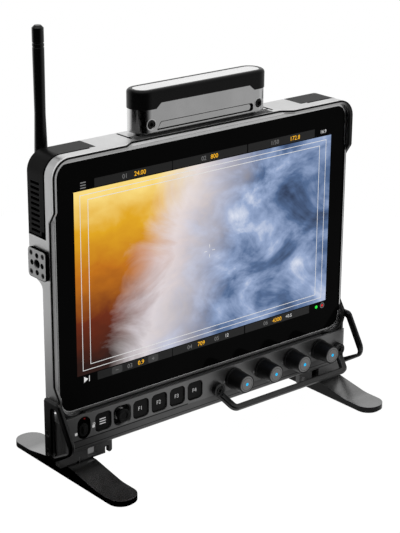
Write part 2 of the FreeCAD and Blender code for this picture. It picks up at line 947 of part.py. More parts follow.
def antenna_connector():
    """The antenna's round base on the rear cover."""
    place = Vector(antenna_x, chassis_rear_y, antenna_z)
    steps = [(0, connector_radius), (connector_flange, connector_radius), (connector_flange, stub_radius)]
    steps.append((stub_length, stub_radius))
    return turned(steps, place, REAR)


def antenna_knuckle():
    """The disc that turns on the connector, with a fork and a hinge pin."""
    start = chassis_rear_y + connector_flange + knuckle_gap
    disc_end = start + knuckle_disc
    pivot = Vector(antenna_x, antenna_y, antenna_z)
    along = Vector(1, 0, 0)
    disc = rod(knuckle_radius, Vector(antenna_x, start, antenna_z), Vector(antenna_x, disc_end, antenna_z))
    cheeks = []
    for side in (-1, 1):
        low, high = sorted((side * clevis_slot_half, side * clevis_radius))
        cheek = rod(clevis_radius, pivot + along * low, pivot + along * high)
        x0, x1 = antenna_x + low, antenna_x + high
        web = block(x0, x1, start, antenna_y, antenna_z - clevis_radius, antenna_z + clevis_radius)
        cheeks += [cheek, web.common(rod(knuckle_radius, disc.CenterOfMass, pivot + REAR * clevis_radius))]
    pin = rod(hinge_pin_radius, pivot - along * clevis_radius, pivot + along * clevis_radius)
    body = disc.fuse(cheeks + [pin])
    bore_start = Vector(antenna_x, start - overrun, antenna_z)
    bore_end = Vector(antenna_x, chassis_rear_y + stub_length + run_gap, antenna_z)
    return body.cut(rod(stub_radius + run_gap, bore_start, bore_end)).removeSplitter()


def antenna_whip():
    """The antenna's rubber rod and the tongue that folds on the hinge pin."""
    pivot = Vector(antenna_x, antenna_y, antenna_z)
    along = Vector(1, 0, 0)
    length = antenna_length - whip_base_height
    flare = length * whip_flare_share
    head = length * whip_head_share
    steps = [(0, whip_base_radius), (flare, whip_neck_radius), (head, whip_tip_radius)]
    for share in whip_ring_shares:
        low = length * share
        dip = whip_tip_radius - whip_ring_depth
        steps += [(low, whip_tip_radius), (low, dip), (low + whip_ring_width, dip)]
        steps.append((low + whip_ring_width, whip_tip_radius))
    steps += [(length - whip_dome, whip_tip_radius), (length, whip_tip_radius - whip_dome)]
    rubber = turned(steps, pivot + UP * whip_base_height, UP)
    tongue = rod(tongue_radius, pivot - along * tongue_half, pivot + along * tongue_half)
    stem = block(
        antenna_x - tongue_half,
        antenna_x + tongue_half,
        antenna_y - tongue_radius,
        antenna_y + tongue_radius,
        antenna_z,
        antenna_z + whip_base_height,
    )
    bore = rod(hinge_pin_radius + run_gap, pivot - along * clevis_radius, pivot + along * clevis_radius)
    return rubber.fuse([tongue, stem]).cut(bore).removeSplitter()


def receiver_outline(inset):
    """The receiver's plan, a bar with round ends, drawn in by inset."""
    half = receiver_length / 2 - inset
    deep = receiver_depth / 2 - inset
    radius = receiver_depth * receiver_end_share - inset
    left, right = receiver_centre_x - half, receiver_centre_x + half
    return rectangle(left, right, receiver_centre_y - deep, receiver_centre_y + deep, radius)


def receiver_tab(grow):
    """The raised middle of the receiver's front, which the cap's skirt steps over."""
    wide = receiver_tab_half + grow
    narrow = receiver_tab_half - receiver_tab_slope + grow
    low = receiver_skirt_z - overrun
    high = receiver_skirt_z + receiver_tab_height + grow
    corners = [(-wide, low, 0), (wide, low, 0), (wide, receiver_skirt_z, 0), (narrow, high, 0)]
    corners += [(-narrow, high, 0), (-wide, receiver_skirt_z, 0)]
    rear = receiver_front_y + receiver_inset + receiver_tab_thick + grow
    tab = prism(corners, "xz", receiver_front_y - grow, rear)
    tab.translate(Vector(receiver_centre_x, 0, 0))
    return tab


def latch_outline(gap, low_gap, end_gap):
    """The latch bar's shape, slanted at its left end, grown by its gaps above, below and at the right."""
    low = receiver_bottom_z + latch_lift
    high = low + latch_height + gap
    left = receiver_centre_x - latch_half - gap
    right = receiver_centre_x + latch_half - latch_end_gap + end_gap
    return [
        (left, low - low_gap, 0),
        (right, low - low_gap, latch_radius),
        (right, high, latch_radius),
        (left + latch_slant, high, latch_radius),
    ]


def receiver_screw_seats():
    """Where the receiver's two hex screws sit."""
    z = receiver_bottom_z + receiver_screw_lift
    y = receiver_front_y + receiver_inset + hex_head_height
    return [Vector(receiver_centre_x + side * receiver_screw_offset, y, z) for side in (-1, 1)]


def hex_sink(seat, reach):
    """A hex screw's counterbore with a slanted mouth, cleared forward by reach."""
    mouth = hex_sink_radius + hex_mouth
    steps = [
        (0, hex_sink_radius),
        (hex_head_height - hex_mouth, hex_sink_radius),
        (hex_head_height, mouth),
        (hex_head_height + reach, mouth),
    ]
    return turned(steps, seat, FRONT)


def receiver_body():
    """The lower half of the receiver with its neck, latch bed and board cavity."""
    plan = receiver_outline(receiver_inset)
    shell = prism(plan, "xy", receiver_bottom_z, receiver_skirt_z)
    tab = receiver_tab(0).common(prism(plan, "xy", receiver_bottom_z, receiver_top_z))
    neck_y = receiver_front_y + neck_front
    neck = prism(
        rectangle(
            receiver_centre_x - neck_half,
            receiver_centre_x + neck_half,
            neck_y,
            neck_y + neck_depth,
            neck_depth * receiver_end_share,
        ),
        "xy",
        chassis_top,
        receiver_bottom_z,
    )
    cavity = prism(
        receiver_outline(receiver_inset + receiver_wall),
        "xy",
        receiver_bottom_z + receiver_floor,
        receiver_skirt_z + overrun,
    )
    bay = block(
        receiver_centre_x - latch_half - receiver_wall,
        receiver_centre_x + latch_half + receiver_wall,
        receiver_front_y,
        receiver_front_y + receiver_inset + latch_depth + receiver_wall,
        receiver_bottom_z,
        receiver_skirt_z,
    )
    cavity = cavity.cut(bay)
    bed = latch_outline(latch_gap, latch_low_gap, latch_end_gap)
    bed_rear = receiver_front_y + receiver_inset + latch_depth
    cuts = [cavity, prism(bed, "xz", receiver_front_y - overrun, bed_rear)]
    for seat in receiver_screw_seats():
        cuts.append(screw_hole(hex_shank_radius, hex_shank_length, seat, FRONT))
        cuts.append(hex_sink(seat, overrun))
    return shell.fuse([tab, neck]).cut(cuts).removeSplitter()


def receiver_cap():
    """The receiver's rounded cap, with a shallow well in its top."""
    cap = prism(receiver_outline(0), "xy", receiver_skirt_z, receiver_top_z)
    rim_edges = [edge for edge in cap.Edges if edge.BoundBox.ZMin > receiver_top_z - fit_gap]
    cap = cap.makeFillet(receiver_crown, rim_edges)
    well_floor = receiver_top_z - receiver_well_depth
    well = prism(receiver_outline(receiver_well_inset), "xy", well_floor, receiver_top_z + overrun)
    return cap.cut([well, receiver_tab(fit_gap)])


def receiver_latch_bar():
    """The latch bar low on the receiver's front."""
    front = receiver_front_y + receiver_inset
    return prism(latch_outline(0, 0, 0), "xz", front, front + latch_depth)


def receiver_board():
    """The board inside the receiver."""
    plan = receiver_outline(receiver_inset + receiver_wall + fit_gap)
    floor = receiver_bottom_z + receiver_floor
    board = prism(plan, "xy", floor, floor + receiver_board_thick)
    bay_rear = receiver_front_y + receiver_inset + latch_depth + receiver_wall + fit_gap
    half = receiver_length / 2
    left, right = receiver_centre_x - half, receiver_centre_x + half
    return board.cut(block(left, right, receiver_front_y, bay_rear, floor - overrun, floor + overrun))


def guard_screw_seats():
    """Where the guard bar's two hex screws sit, sunk into its ears."""
    y = panel_face_y - guard_ear_thick + hex_head_height
    return [Vector(x, y, guard_ear_z) for x in (guard_left_x, guard_right_x)]


def hex_screws():
    """The screws of the receiver and of the guard bar."""
    sizes = (hex_head_radius, hex_head_height, hex_shank_radius, hex_shank_length)
    seats = receiver_screw_seats() + guard_screw_seats()
    return Part.makeCompound([screw(*sizes, seat, FRONT) for seat in seats])


def strip_space(grow):
    """The bed of the control panel's vent strip, behind the panel's top edge."""
    front = panel_face_y + panel_strip_wall - grow
    rear = panel_face_y + panel_strip_setback + grow
    half = panel_strip_half + grow
    return block(-half, half, front, rear, panel_top_z, panel_top_z + panel_lip_height + overrun)


def square_hole(x, size, radius):
    """A rounded square hole through the panel face."""
    half = size / 2
    corners = rectangle(x - half, x + half, control_row_z - half, control_row_z + half, radius)
    return prism(corners, "xz", panel_face_y - overrun, panel_inner_y + overrun)


def stick_mouth():
    """The slanted edge of the joystick's hole."""
    half = stick_hole / 2 + stick_flare
    radius = key_radius + key_gap + stick_flare
    corners = rectangle(
        joystick_x - half, joystick_x + half, control_row_z - half, control_row_z + half, radius
    )
    depth = panel_face_y + stick_flare
    mouth = prism(corners, "xz", panel_face_y - overrun, depth)
    inner_edges = [edge for edge in mouth.Edges if edge.BoundBox.YMin > depth - fit_gap]
    return mouth.makeChamfer(stick_flare, inner_edges)


def key_xs():
    """The menu key and the function keys, from left to right."""
    return [menu_x] + [function_first_x + i * key_pitch for i in range(4)]


def knob_xs():
    """The four knobs, from left to right."""
    return [knob_first_x + i * knob_pitch for i in range(knob_count)]


def lock_cuts():
    """The oval well of the lock slider and the slot through its floor."""
    wide, tall = lock_width / 2, lock_height / 2
    low, high = control_row_z - tall, control_row_z + tall
    well = rectangle(lock_x - wide, lock_x + wide, low, high, wide - fit_gap)
    half = lock_neck / 2 + lock_neck_gap
    reach = half + lock_travel / 2
    slot = rectangle(lock_x - half, lock_x + half, control_row_z - reach, control_row_z + reach)
    return [
        prism(well, "xz", panel_face_y - overrun, panel_face_y + lock_depth),
        prism(slot, "xz", panel_face_y, panel_inner_y + overrun),
    ]


def back_outline(inset):
    """The control panel's back cover, drawn in by inset; it has no ledge under the thin roof."""
    half = chassis_half - panel_end_wall + back_rim - inset
    low = panel_bottom_z + panel_floor - back_rim + inset
    high = panel_top_z - panel_roof - inset
    return rectangle(-half, half, low, high)


def bracket_places(shares):
    """Bracket points from shares of its depth, forward from the rear edge, and of its height."""
    rear = glass_front_y + bracket_rear_setback
    return [(rear - u * bracket_depth, bracket_bottom_z + v * bracket_height) for u, v in shares]


def bracket_screw_seats(side):
    """Where a bracket's screws sit, sunk into its outer face."""
    x = side * (chassis_half + bracket_thick - bracket_head_height)
    return [Vector(x, y, z) for y, z in bracket_places(bracket_screw_shares)]


def control_housing():
    """The control panel's case with all its holes."""
    chamfer = panel_bottom_chamfer
    lip_rear = panel_face_y + panel_lip_thick
    profile = [
        (panel_face_y, panel_bottom_z + chamfer, 0),
        (panel_face_y + chamfer, panel_bottom_z, 0),
        (panel_rear_y, panel_bottom_z, 0),
        (panel_rear_y, panel_top_z, 0),
        (lip_rear, panel_top_z, 0),
        (lip_rear, panel_top_z + panel_lip_height, 0),
        (panel_face_y, panel_top_z + panel_lip_height, 0),
    ]
    plan = [
        (-chassis_half, panel_face_y, panel_end_radius),
        (chassis_half, panel_face_y, panel_end_radius),
        (chassis_half, panel_rear_y, 0),
        (-chassis_half, panel_rear_y, 0),
    ]
    body = prism(profile, "yz", -chassis_half, chassis_half)
    body = body.common(prism(plan, "xy", panel_bottom_z - overrun, panel_top_z + panel_lip_height + overrun))
    half = chassis_half - panel_end_wall
    low, high = panel_bottom_z + panel_floor, panel_top_z - panel_roof
    cuts = [block(-half, half, panel_inner_y, panel_rear_y + overrun, low, high)]
    cuts.append(prism(back_outline(0), "xz", panel_rear_y - back_thick, panel_rear_y + overrun))
    cuts.append(strip_space(fit_gap))
    cuts += [square_hole(x, key_size + 2 * key_gap, key_radius + key_gap) for x in key_xs()]
    cuts.append(square_hole(joystick_x, stick_hole, key_radius + key_gap))
    cuts.append(stick_mouth())
    cuts += lock_cuts()
    for x in knob_xs():
        hole_start = Vector(x, panel_face_y - overrun, control_row_z)
        cuts.append(rod(bush_radius + fit_gap, hole_start, Vector(x, panel_inner_y + overrun, control_row_z)))
    cuts += [screw_hole(hex_shank_radius, hex_shank_length, seat, FRONT) for seat in guard_screw_seats()]
    for side in (-1, 1):
        for seat in bracket_screw_seats(side):
            cuts.append(screw_hole(bracket_shank_radius, bracket_shank_length, seat, Vector(side, 0, 0)))
    return body.cut(cuts).removeSplitter()


def control_back_cover():
    """The plate that closes the control panel."""
    return prism(back_outline(fit_gap), "xz", panel_rear_y - back_thick, panel_rear_y)


def control_vent_strip():
    """The ribbed strip behind the control panel's top edge."""
    front = panel_face_y + panel_strip_wall
    rear = panel_face_y + panel_strip_setback
    return comb(panel_strip_half, panel_top_z, panel_top_z + strip_thick, front, rear)


def control_board():
    """The control panel's board."""
    half = chassis_half - panel_end_wall - fit_gap
    low, high = panel_bottom_z + panel_floor + fit_gap, panel_top_z - panel_roof - fit_gap
    return block(-half, half, circuit_front_y, circuit_front_y + circuit_thick, low, high)


def encoder_bodies():
    """The cases behind the knobs, each with a round bush through the panel."""
    half = encoder_size / 2
    group = []
    for x in knob_xs():
        low, high = control_row_z - half, control_row_z + half
        case = block(x - half, x + half, panel_inner_y, circuit_front_y, low, high)
        nose = Vector(x, panel_face_y - bush_reach, control_row_z)
        bush = rod(bush_radius, nose, Vector(x, circuit_front_y, control_row_z))
        floor = Vector(x, panel_inner_y + shaft_tail + fit_gap, control_row_z)
        bore = rod(shaft_radius + run_gap, nose + FRONT * overrun, floor)
        group.append(case.fuse(bush).cut(bore).removeSplitter())
    return Part.makeCompound(group)


def key_switches():
    """The switches behind the keys."""
    half = switch_size / 2
    group = []
    for x in key_xs():
        low, high = control_row_z - half, control_row_z + half
        group.append(block(x - half, x + half, circuit_front_y - switch_thick, circuit_front_y, low, high))
    return Part.makeCompound(group)


def key(x):
    """One key with its stem."""
    half = key_size / 2
    front = panel_face_y + key_recess
    rear = front + key_thick
    corners = rectangle(x - half, x + half, control_row_z - half, control_row_z + half, key_radius)
    cap = prism(corners, "xz", front, rear)
    rim_edges = [edge for edge in cap.Edges if edge.BoundBox.YMax < front + fit_gap]
    cap = cap.makeChamfer(key_crown, rim_edges)
    stem_end = circuit_front_y - switch_thick - key_travel - switch_gap
    stem = rod(key_stem_radius, Vector(x, rear, control_row_z), Vector(x, stem_end, control_row_z))
    return cap.fuse(stem).removeSplitter()


def joystick_base():
    """The joystick's case with its bowl and bearings."""
    half = stick_base_size / 2
    low, high = control_row_z - half, control_row_z + half
    case = block(joystick_x - half, joystick_x + half, panel_inner_y, circuit_front_y, low, high)
    mouth = Vector(joystick_x, panel_inner_y, control_row_z)
    bowl = rod(stick_bowl_radius, mouth - REAR * overrun, mouth + REAR * stick_bowl_depth)
    bearing = joystick_pin(ring_pin_radius + run_gap, ring_pin_reach + fit_gap, Vector(1, 0, 0))
    return case.cut([bowl, bearing])


def joystick_pin(radius, reach, along):
    """A pin through the joystick's pivot."""
    pivot = Vector(joystick_x, stick_pivot_y, control_row_z)
    return rod(radius, pivot - along * reach, pivot + along * reach)


def joystick_ring():
    """The joystick's gimbal ring with its two pins."""
    pivot = Vector(joystick_x, stick_pivot_y, control_row_z)
    front, rear = pivot - REAR * (ring_thick / 2), pivot + REAR * (ring_thick / 2)
    hole = rod(ring_bore_radius, front - REAR * overrun, rear + REAR * overrun)
    ring = rod(ring_radius, front, rear).fuse(joystick_pin(ring_pin_radius, ring_pin_reach, Vector(1, 0, 0)))
    bearing = joystick_pin(stick_pin_radius + run_gap, stick_pin_reach + fit_gap, UP)
    return ring.cut([hole, bearing]).removeSplitter()


def joystick_stick():
    """The joystick's stick and dished cap."""
    pivot = Vector(joystick_x, stick_pivot_y, control_row_z)
    steps = [
        (-stick_tail, stick_radius),
        (stick_cap_lift, stick_radius),
        (stick_cap_lift, stick_cap_radius),
        (stick_cap_lift + stick_cap_thick - stick_cap_dish, stick_cap_radius),
        (stick_cap_lift + stick_cap_thick, stick_cap_radius - stick_cap_dish),
        (stick_cap_lift + stick_cap_thick, stick_dish_radius),
        (stick_cap_lift + stick_cap_thick - stick_cap_dish, stick_dish_radius - stick_cap_dish),
    ]
    stick = turned(steps, pivot, FRONT)
    return stick.fuse(joystick_pin(stick_pin_radius, stick_pin_reach, UP)).removeSplitter()


def lock_slider():
    """The lock's thumb, its ridge, and the neck and keeper behind the panel."""
    low_z = control_row_z - lock_travel / 2
    wide, tall = lock_thumb_width / 2, lock_thumb_height / 2
    floor = panel_face_y + lock_depth - lock_float
    thumb_front = floor - lock_thumb_thick
    plan = rectangle(lock_x - wide, lock_x + wide, low_z - tall, low_z + tall, wide - fit_gap)
    thumb = prism(plan, "xz", thumb_front, floor)
    ridge_half = lock_ridge_width / 2
    ridge_tall = tall - lock_ridge_width
    ridge = block(
        lock_x - ridge_half,
        lock_x + ridge_half,
        thumb_front - lock_ridge_height,
        thumb_front,
        low_z - ridge_tall,
        low_z + ridge_tall,
    )
    slim = lock_neck / 2
    keep = lock_keeper / 2
    front = panel_inner_y + lock_float
    rear = front + lock_keeper_thick
    neck = block(lock_x - slim, lock_x + slim, floor, front, low_z - slim, low_z + slim)
    keeper = block(lock_x - keep, lock_x + keep, front, rear, low_z - keep, low_z + keep)
    return thumb.fuse([ridge, neck, keeper]).removeSplitter()


def knob_axis(x, forward):
    """A point on a knob's axis, forward of the panel face."""
    return Vector(x, panel_face_y - forward, control_row_z)


def knob_grip(x):
    """One knob's grip with its skirt."""
    front = knob_length - knob_cap_rim
    steps = [
        (knob_lift, knob_skirt_radius),
        (knob_lift + knob_skirt_height, knob_skirt_radius),
        (knob_lift + knob_skirt_height, knob_base_radius),
        (front, knob_tip_radius),
    ]
    grip = turned(steps, knob_axis(x, 0), FRONT)
    cap_bed = knob_length - knob_cap_thick
    cuts = [
        rod(knob_cap_radius + fit_gap, knob_axis(x, cap_bed), knob_axis(x, knob_length + overrun)),
        rod(bush_radius + bush_clear, knob_axis(x, -overrun), knob_axis(x, bush_reach + bush_clear)),
        rod(shaft_radius + run_gap, knob_axis(x, 0), knob_axis(x, cap_bed - shaft_tip_gap)),
    ]
    return grip.cut(cuts)


def knob_cap(x):
    """One knob's end cap."""
    bed = knob_length - knob_cap_thick
    edge = knob_cap_rim
    steps = [(bed, knob_cap_radius), (knob_length - edge, knob_cap_radius)]
    steps.append((knob_length, knob_cap_radius - edge))
    return turned(steps, knob_axis(x, 0), FRONT)


def knob_shaft(x):
    """One knob's shaft."""
    tip = knob_length - knob_cap_thick - shaft_tip_gap - fit_gap
    tail = panel_inner_y + shaft_tail
    return rod(shaft_radius, Vector(x, tail, control_row_z), knob_axis(x, tip))


def guard_bar():
    """The bar in front of the knobs, bent from its two ears."""
    half = guard_section / 2
    leg = guard_leg_width / 2
    lean = guard_lean / guard_reach

    def corners(side, start, end, radius):
        """A loop outline whose legs lean inwards, side +1 outside the legs and -1 inside them."""
        left = guard_left_x - side * leg
        right = guard_right_x + side * leg
        return [
            (left + lean * start, start, 0),
            (right - lean * start, start, 0),
            (right - lean * end, end, radius),
            (left + lean * end, end, radius),
        ]

    loop = prism(corners(1, 0, guard_reach + half, guard_bend_radius), "xy", -half, half)
    inner = corners(-1, -overrun, guard_reach - half, guard_inner_radius)
    loop = loop.cut(prism(inner, "xy", -half - overrun, half + overrun))
    flat_edges = [edge for edge in loop.Edges if edge.BoundBox.ZLength < fit_gap]
    rim_edges = [edge for edge in flat_edges if edge.BoundBox.YMax > half]
    loop = loop.makeChamfer(guard_edge, rim_edges)
    loop.rotate(Vector(0, 0, 0), Vector(1, 0, 0), 180 + guard_angle)
    loop.translate(Vector(0, panel_face_y - guard_ear_thick / 2, guard_ear_z - guard_start_drop))
    ears = []
    cuts = []
    for seat in guard_screw_seats():
        foot = Vector(seat.x, panel_face_y, guard_ear_z)
        ears.append(rod(guard_ear_radius, foot, foot + FRONT * guard_ear_thick))
        cuts.append(screw_hole(hex_shank_radius, hex_shank_length, seat, FRONT))
        cuts.append(hex_sink(seat, guard_reach))
    behind = block(
        guard_left_x - guard_reach,
        guard_right_x + guard_reach,
        panel_face_y,
        panel_rear_y,
        panel_bottom_z - guard_reach,
        panel_top_z,
    )
    return loop.fuse(ears).cut(cuts + [behind]).removeSplitter()


def bracket(side):
    """A side bracket with its window."""
    start, end = sorted((side * chassis_half, side * (chassis_half + bracket_thick)))

    def shaped(shares):
        """Rounded corners from a table of shares."""
        places = bracket_places([share[:2] for share in shares])
        return [(y, z, share[2] * bracket_height) for (y, z), share in zip(places, shares)]

    plate = prism(shaped(bracket_shares), "yz", start, end)
    plate = plate.cut(prism(shaped(bracket_window_shares), "yz", start - overrun, end + overrun))
    rim_edges = [edge for edge in plate.Edges if edge.BoundBox.XLength < fit_gap]
    plate = plate.makeChamfer(bracket_edge, rim_edges)
    cuts = []
    outward = Vector(side, 0, 0)
    for seat in bracket_screw_seats(side):
        cuts.append(screw_hole(bracket_shank_radius, bracket_shank_length, seat, outward))
        cuts.append(rod(bracket_head_radius + fit_gap, seat, seat + outward * overrun))
    return plate.cut(cuts)


def foot_screw_seats():
    """Where the right foot's screws sit, heads down inside the foot."""
    return [Vector(foot_screw_x, side * foot_screw_y, foot_head_lift + foot_head_height) for side in (-1, 1)]


def foot_screw_length():
    """From the head's seat to the top of the mount's lower flange."""
    return mount_bottom_z + mount_flange - foot_head_lift - foot_head_height


def stand_screws():
    """The screws of the brackets and of the feet."""
    sizes = (bracket_head_radius, bracket_head_height, bracket_shank_radius, bracket_shank_length)
    group = []
    for side in (-1, 1):
        group += [screw(*sizes, seat, Vector(side, 0, 0)) for seat in bracket_screw_seats(side)]
    for seat in foot_screw_seats():
        one = screw(foot_head_radius, foot_head_height, foot_shank_radius, foot_screw_length(), seat, UP * -1)
        group += [one, mirrored(one)]
    return Part.makeCompound(group)


def foot_mount(side):
    """The channel between the control panel and a foot."""
    front, rear = mount_front_y, mount_front_y + mount_depth
    face = [
        (mount_inner_x, mount_bottom_z, mount_corner),
        (chassis_half, mount_bottom_z, mount_corner),
        (chassis_half, mount_top_z, 0),
        (mount_inner_x, mount_top_z, 0),
    ]
    web = prism(face, "xz", front, front + mount_web)
    upper = block(mount_inner_x, chassis_half, front, rear, mount_top_z - mount_flange, mount_top_z)
    lower = block(
        foot_inner_x + mount_flange_inset,
        foot_outer_x - mount_flange_inset,
        front,
        rear,
        mount_bottom_z,
        mount_bottom_z + mount_flange,
    )
    half = mount_window / 2
    low = mount_bottom_z + mount_flange
    high = mount_top_z - mount_flange
    window = rectangle(mount_window_x - half, mount_window_x + half, low, high, mount_window_radius)
    slot_half = mount_slot_width / 2
    slot_top = mount_bottom_z + mount_slot_height
    slot = [
        (mount_slot_x - slot_half, mount_bottom_z - overrun, 0),
        (mount_slot_x + slot_half, mount_bottom_z - overrun, 0),
        (mount_slot_x + slot_half, slot_top, slot_half - fit_gap),
        (mount_slot_x - slot_half, slot_top, slot_half - fit_gap),
    ]
    web_rear = front + mount_web + fit_gap
    cuts = [prism(corners, "xz", front - overrun, web_rear) for corners in (window, slot)]
    rib = mount_rib / 2
    for x0, x1 in ((foot_inner_x, foot_screw_x - rib), (foot_screw_x + rib, foot_outer_x)):
        groove_y, groove_z = front + mount_groove, mount_bottom_z + mount_groove
        cuts.append(block(x0, x1, front - overrun, groove_y, mount_bottom_z - overrun, groove_z))
    for seat in foot_screw_seats():
        cuts.append(rod(foot_shank_radius + fit_gap, seat, seat + UP * (foot_screw_length() + overrun)))
    shape = web.fuse([upper, lower]).cut(cuts).removeSplitter()
    return shape if side > 0 else mirrored(shape)


def foot_plan(inset):
    """The foot seen from above, drawn in by inset."""
    half = foot_length / 2 - inset
    radius = (foot_outer_x - foot_inner_x) * foot_tip_share - inset
    return rectangle(foot_inner_x + inset, foot_outer_x - inset, -half, half, radius)


def foot(side):
    """A flat foot that rises to a hump under its mount."""
    low, high = pad_thick + foot_thick, mount_bottom_z
    reach = foot_length / 2 + overrun
    flat, hump = foot_length * foot_flat_share, foot_length * foot_hump_share
    profile = [
        (-reach, pad_thick, 0),
        (reach, pad_thick, 0),
        (reach, low, 0),
        (flat, low, foot_flat_radius),
        (hump, high, foot_hump_radius),
        (-hump, high, foot_hump_radius),
        (-flat, low, foot_flat_radius),
        (-reach, low, 0),
    ]
    body = prism(foot_plan(0), "xy", 0, high + overrun)
    body = body.common(prism(profile, "yz", foot_inner_x - overrun, foot_outer_x + overrun))
    cuts = []
    for seat in foot_screw_seats():
        cuts.append(rod(foot_head_radius + fit_gap, Vector(seat.x, seat.y, 0), seat))
        cuts.append(rod(foot_shank_radius + fit_gap, seat, Vector(seat.x, seat.y, high + overrun)))
    shape = body.cut(cuts)
    return shape if side > 0 else mirrored(shape)


def foot_pads():
    """The rubber pads under both feet."""
    pad = prism(foot_plan(pad_inset), "xy", 0, pad_thick)
    holes = []
    for seat in foot_screw_seats():
        below = Vector(seat.x, seat.y, -overrun)
        holes.append(rod(foot_head_radius + fit_gap, below, below + UP * (pad_thick + 2 * overrun)))
    pad = pad.cut(holes)
    return Part.makeCompound([pad, mirrored(pad)])


def pieces():
    """Every node's name with its shape."""
    made = {
        "chassis": chassis(),
        "edge_gasket": edge_gasket(),
        "front_bezel": front_bezel(),
        "cover_glass": cover_glass(),
        "lcd_module": lcd_module(),
        "main_board": main_board(),
        "heat_sink": heat_sink(),
        "fan_frame": fan_frame(),
        "fan_rotor": fan_rotor(),
        "rear_cover": rear_cover(),
        "left_corner_cap": corner_cap(-1),
        "right_corner_cap": corner_cap(1),
        "top_vent_strip": top_vent_strip(),
        "accessory_plate": accessory_plate(),
        "small_screws": small_screws(),
        "rear_jacks": rear_jacks(),
        "antenna_connector": antenna_connector(),
        "antenna_knuckle": antenna_knuckle(),
        "antenna_whip": antenna_whip(),
        "receiver_body": receiver_body(),
        "receiver_cap": receiver_cap(),
        "receiver_latch_bar": receiver_latch_bar(),
        "receiver_board": receiver_board(),
        "hex_screws": hex_screws(),
        "control_housing": control_housing(),
        "control_back_cover": control_back_cover(),
        "control_vent_strip": control_vent_strip(),
        "control_board": control_board(),
        "encoder_bodies": encoder_bodies(),
        "key_switches": key_switches(),
        "joystick_base": joystick_base(),
        "joystick_ring": joystick_ring(),
        "joystick_stick": joystick_stick(),
        "lock_slider": lock_slider(),
        "guard_bar": guard_bar(),
        "left_bracket": bracket(-1),
        "right_bracket": bracket(1),
        "left_foot_mount": foot_mount(-1),
        "right_foot_mount": foot_mount(1),
        "left_foot": foot(-1),
        "right_foot": foot(1),
        "foot_pads": foot_pads(),
        "stand_screws": stand_screws(),
    }
    for name, x in zip(("key_menu", "key_f1", "key_f2", "key_f3", "key_f4"), key_xs()):
        made[name] = key(x)
    for letter, x in zip("abcd", knob_xs()):
        made[f"knob_{letter}_grip"] = knob_grip(x)
        made[f"knob_{letter}_cap"] = knob_cap(x)
        made[f"knob_{letter}_shaft"] = knob_shaft(x)
    return made


os.makedirs("parts", exist_ok=True)
for name, shape in pieces().items():
    shape.exportStep(os.path.join("parts", f"{name}.step"))
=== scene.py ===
"""Looks of a camera field monitor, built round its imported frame. Sizes are in metres."""

import json
import logging
import math
from dataclasses import dataclass
from enum import Enum

import bpy
import numpy as np
from mathutils import Matrix, Vector


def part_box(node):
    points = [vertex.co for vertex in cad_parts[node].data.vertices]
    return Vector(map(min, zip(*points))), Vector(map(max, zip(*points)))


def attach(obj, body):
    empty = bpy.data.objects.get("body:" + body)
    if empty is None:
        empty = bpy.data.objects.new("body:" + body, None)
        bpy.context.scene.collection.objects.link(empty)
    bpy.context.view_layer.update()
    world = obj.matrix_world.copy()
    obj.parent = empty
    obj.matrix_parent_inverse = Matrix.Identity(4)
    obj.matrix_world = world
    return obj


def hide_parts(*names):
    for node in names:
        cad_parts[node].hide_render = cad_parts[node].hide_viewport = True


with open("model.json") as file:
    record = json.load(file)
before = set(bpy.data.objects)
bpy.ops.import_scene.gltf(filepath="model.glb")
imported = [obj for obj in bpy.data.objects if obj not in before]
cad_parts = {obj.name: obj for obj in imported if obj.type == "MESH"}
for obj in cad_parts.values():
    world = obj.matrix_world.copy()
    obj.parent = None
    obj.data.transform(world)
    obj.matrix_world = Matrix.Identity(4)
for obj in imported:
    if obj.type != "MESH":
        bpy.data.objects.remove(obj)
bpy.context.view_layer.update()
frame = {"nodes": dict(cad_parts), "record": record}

LOG = logging.getLogger("field_monitor")
MM = 0.001
BODY = "monitor"

# How far a mark stands over its face, and how far it reaches under it
INK_LIFT = 0.03 * MM
INK_ROOT = 0.02 * MM
# Corner radius of plates that look square
SQUARE = 0.1 * MM
# Height of a capital in the font's own units
CAPITAL = 0.69
MIDDLE = (0.0, 0.0)

Pair = tuple[float, float]
Triple = tuple[float, float, float]
Colour = tuple[float, float, float]
Socket = bpy.types.NodeSocket
Feed = Socket | float | Colour


def grey(level: float) -> Colour:
    """A neutral colour of that linear level."""
    return (level, level, level)


BLACK = grey(0.003)
# Colour of the painted shade that a finish fades from, along axes or on its sides
SHADE = grey(0.02)
WHITE = (*grey(1.0), 1.0)


class Ray(Enum):
    """The kinds of ray that see the bright background instead of the working light."""

    CAMERA = "Is Camera Ray"
    GLOSSY = "Is Glossy Ray"
    TRANSMISSION = "Is Transmission Ray"


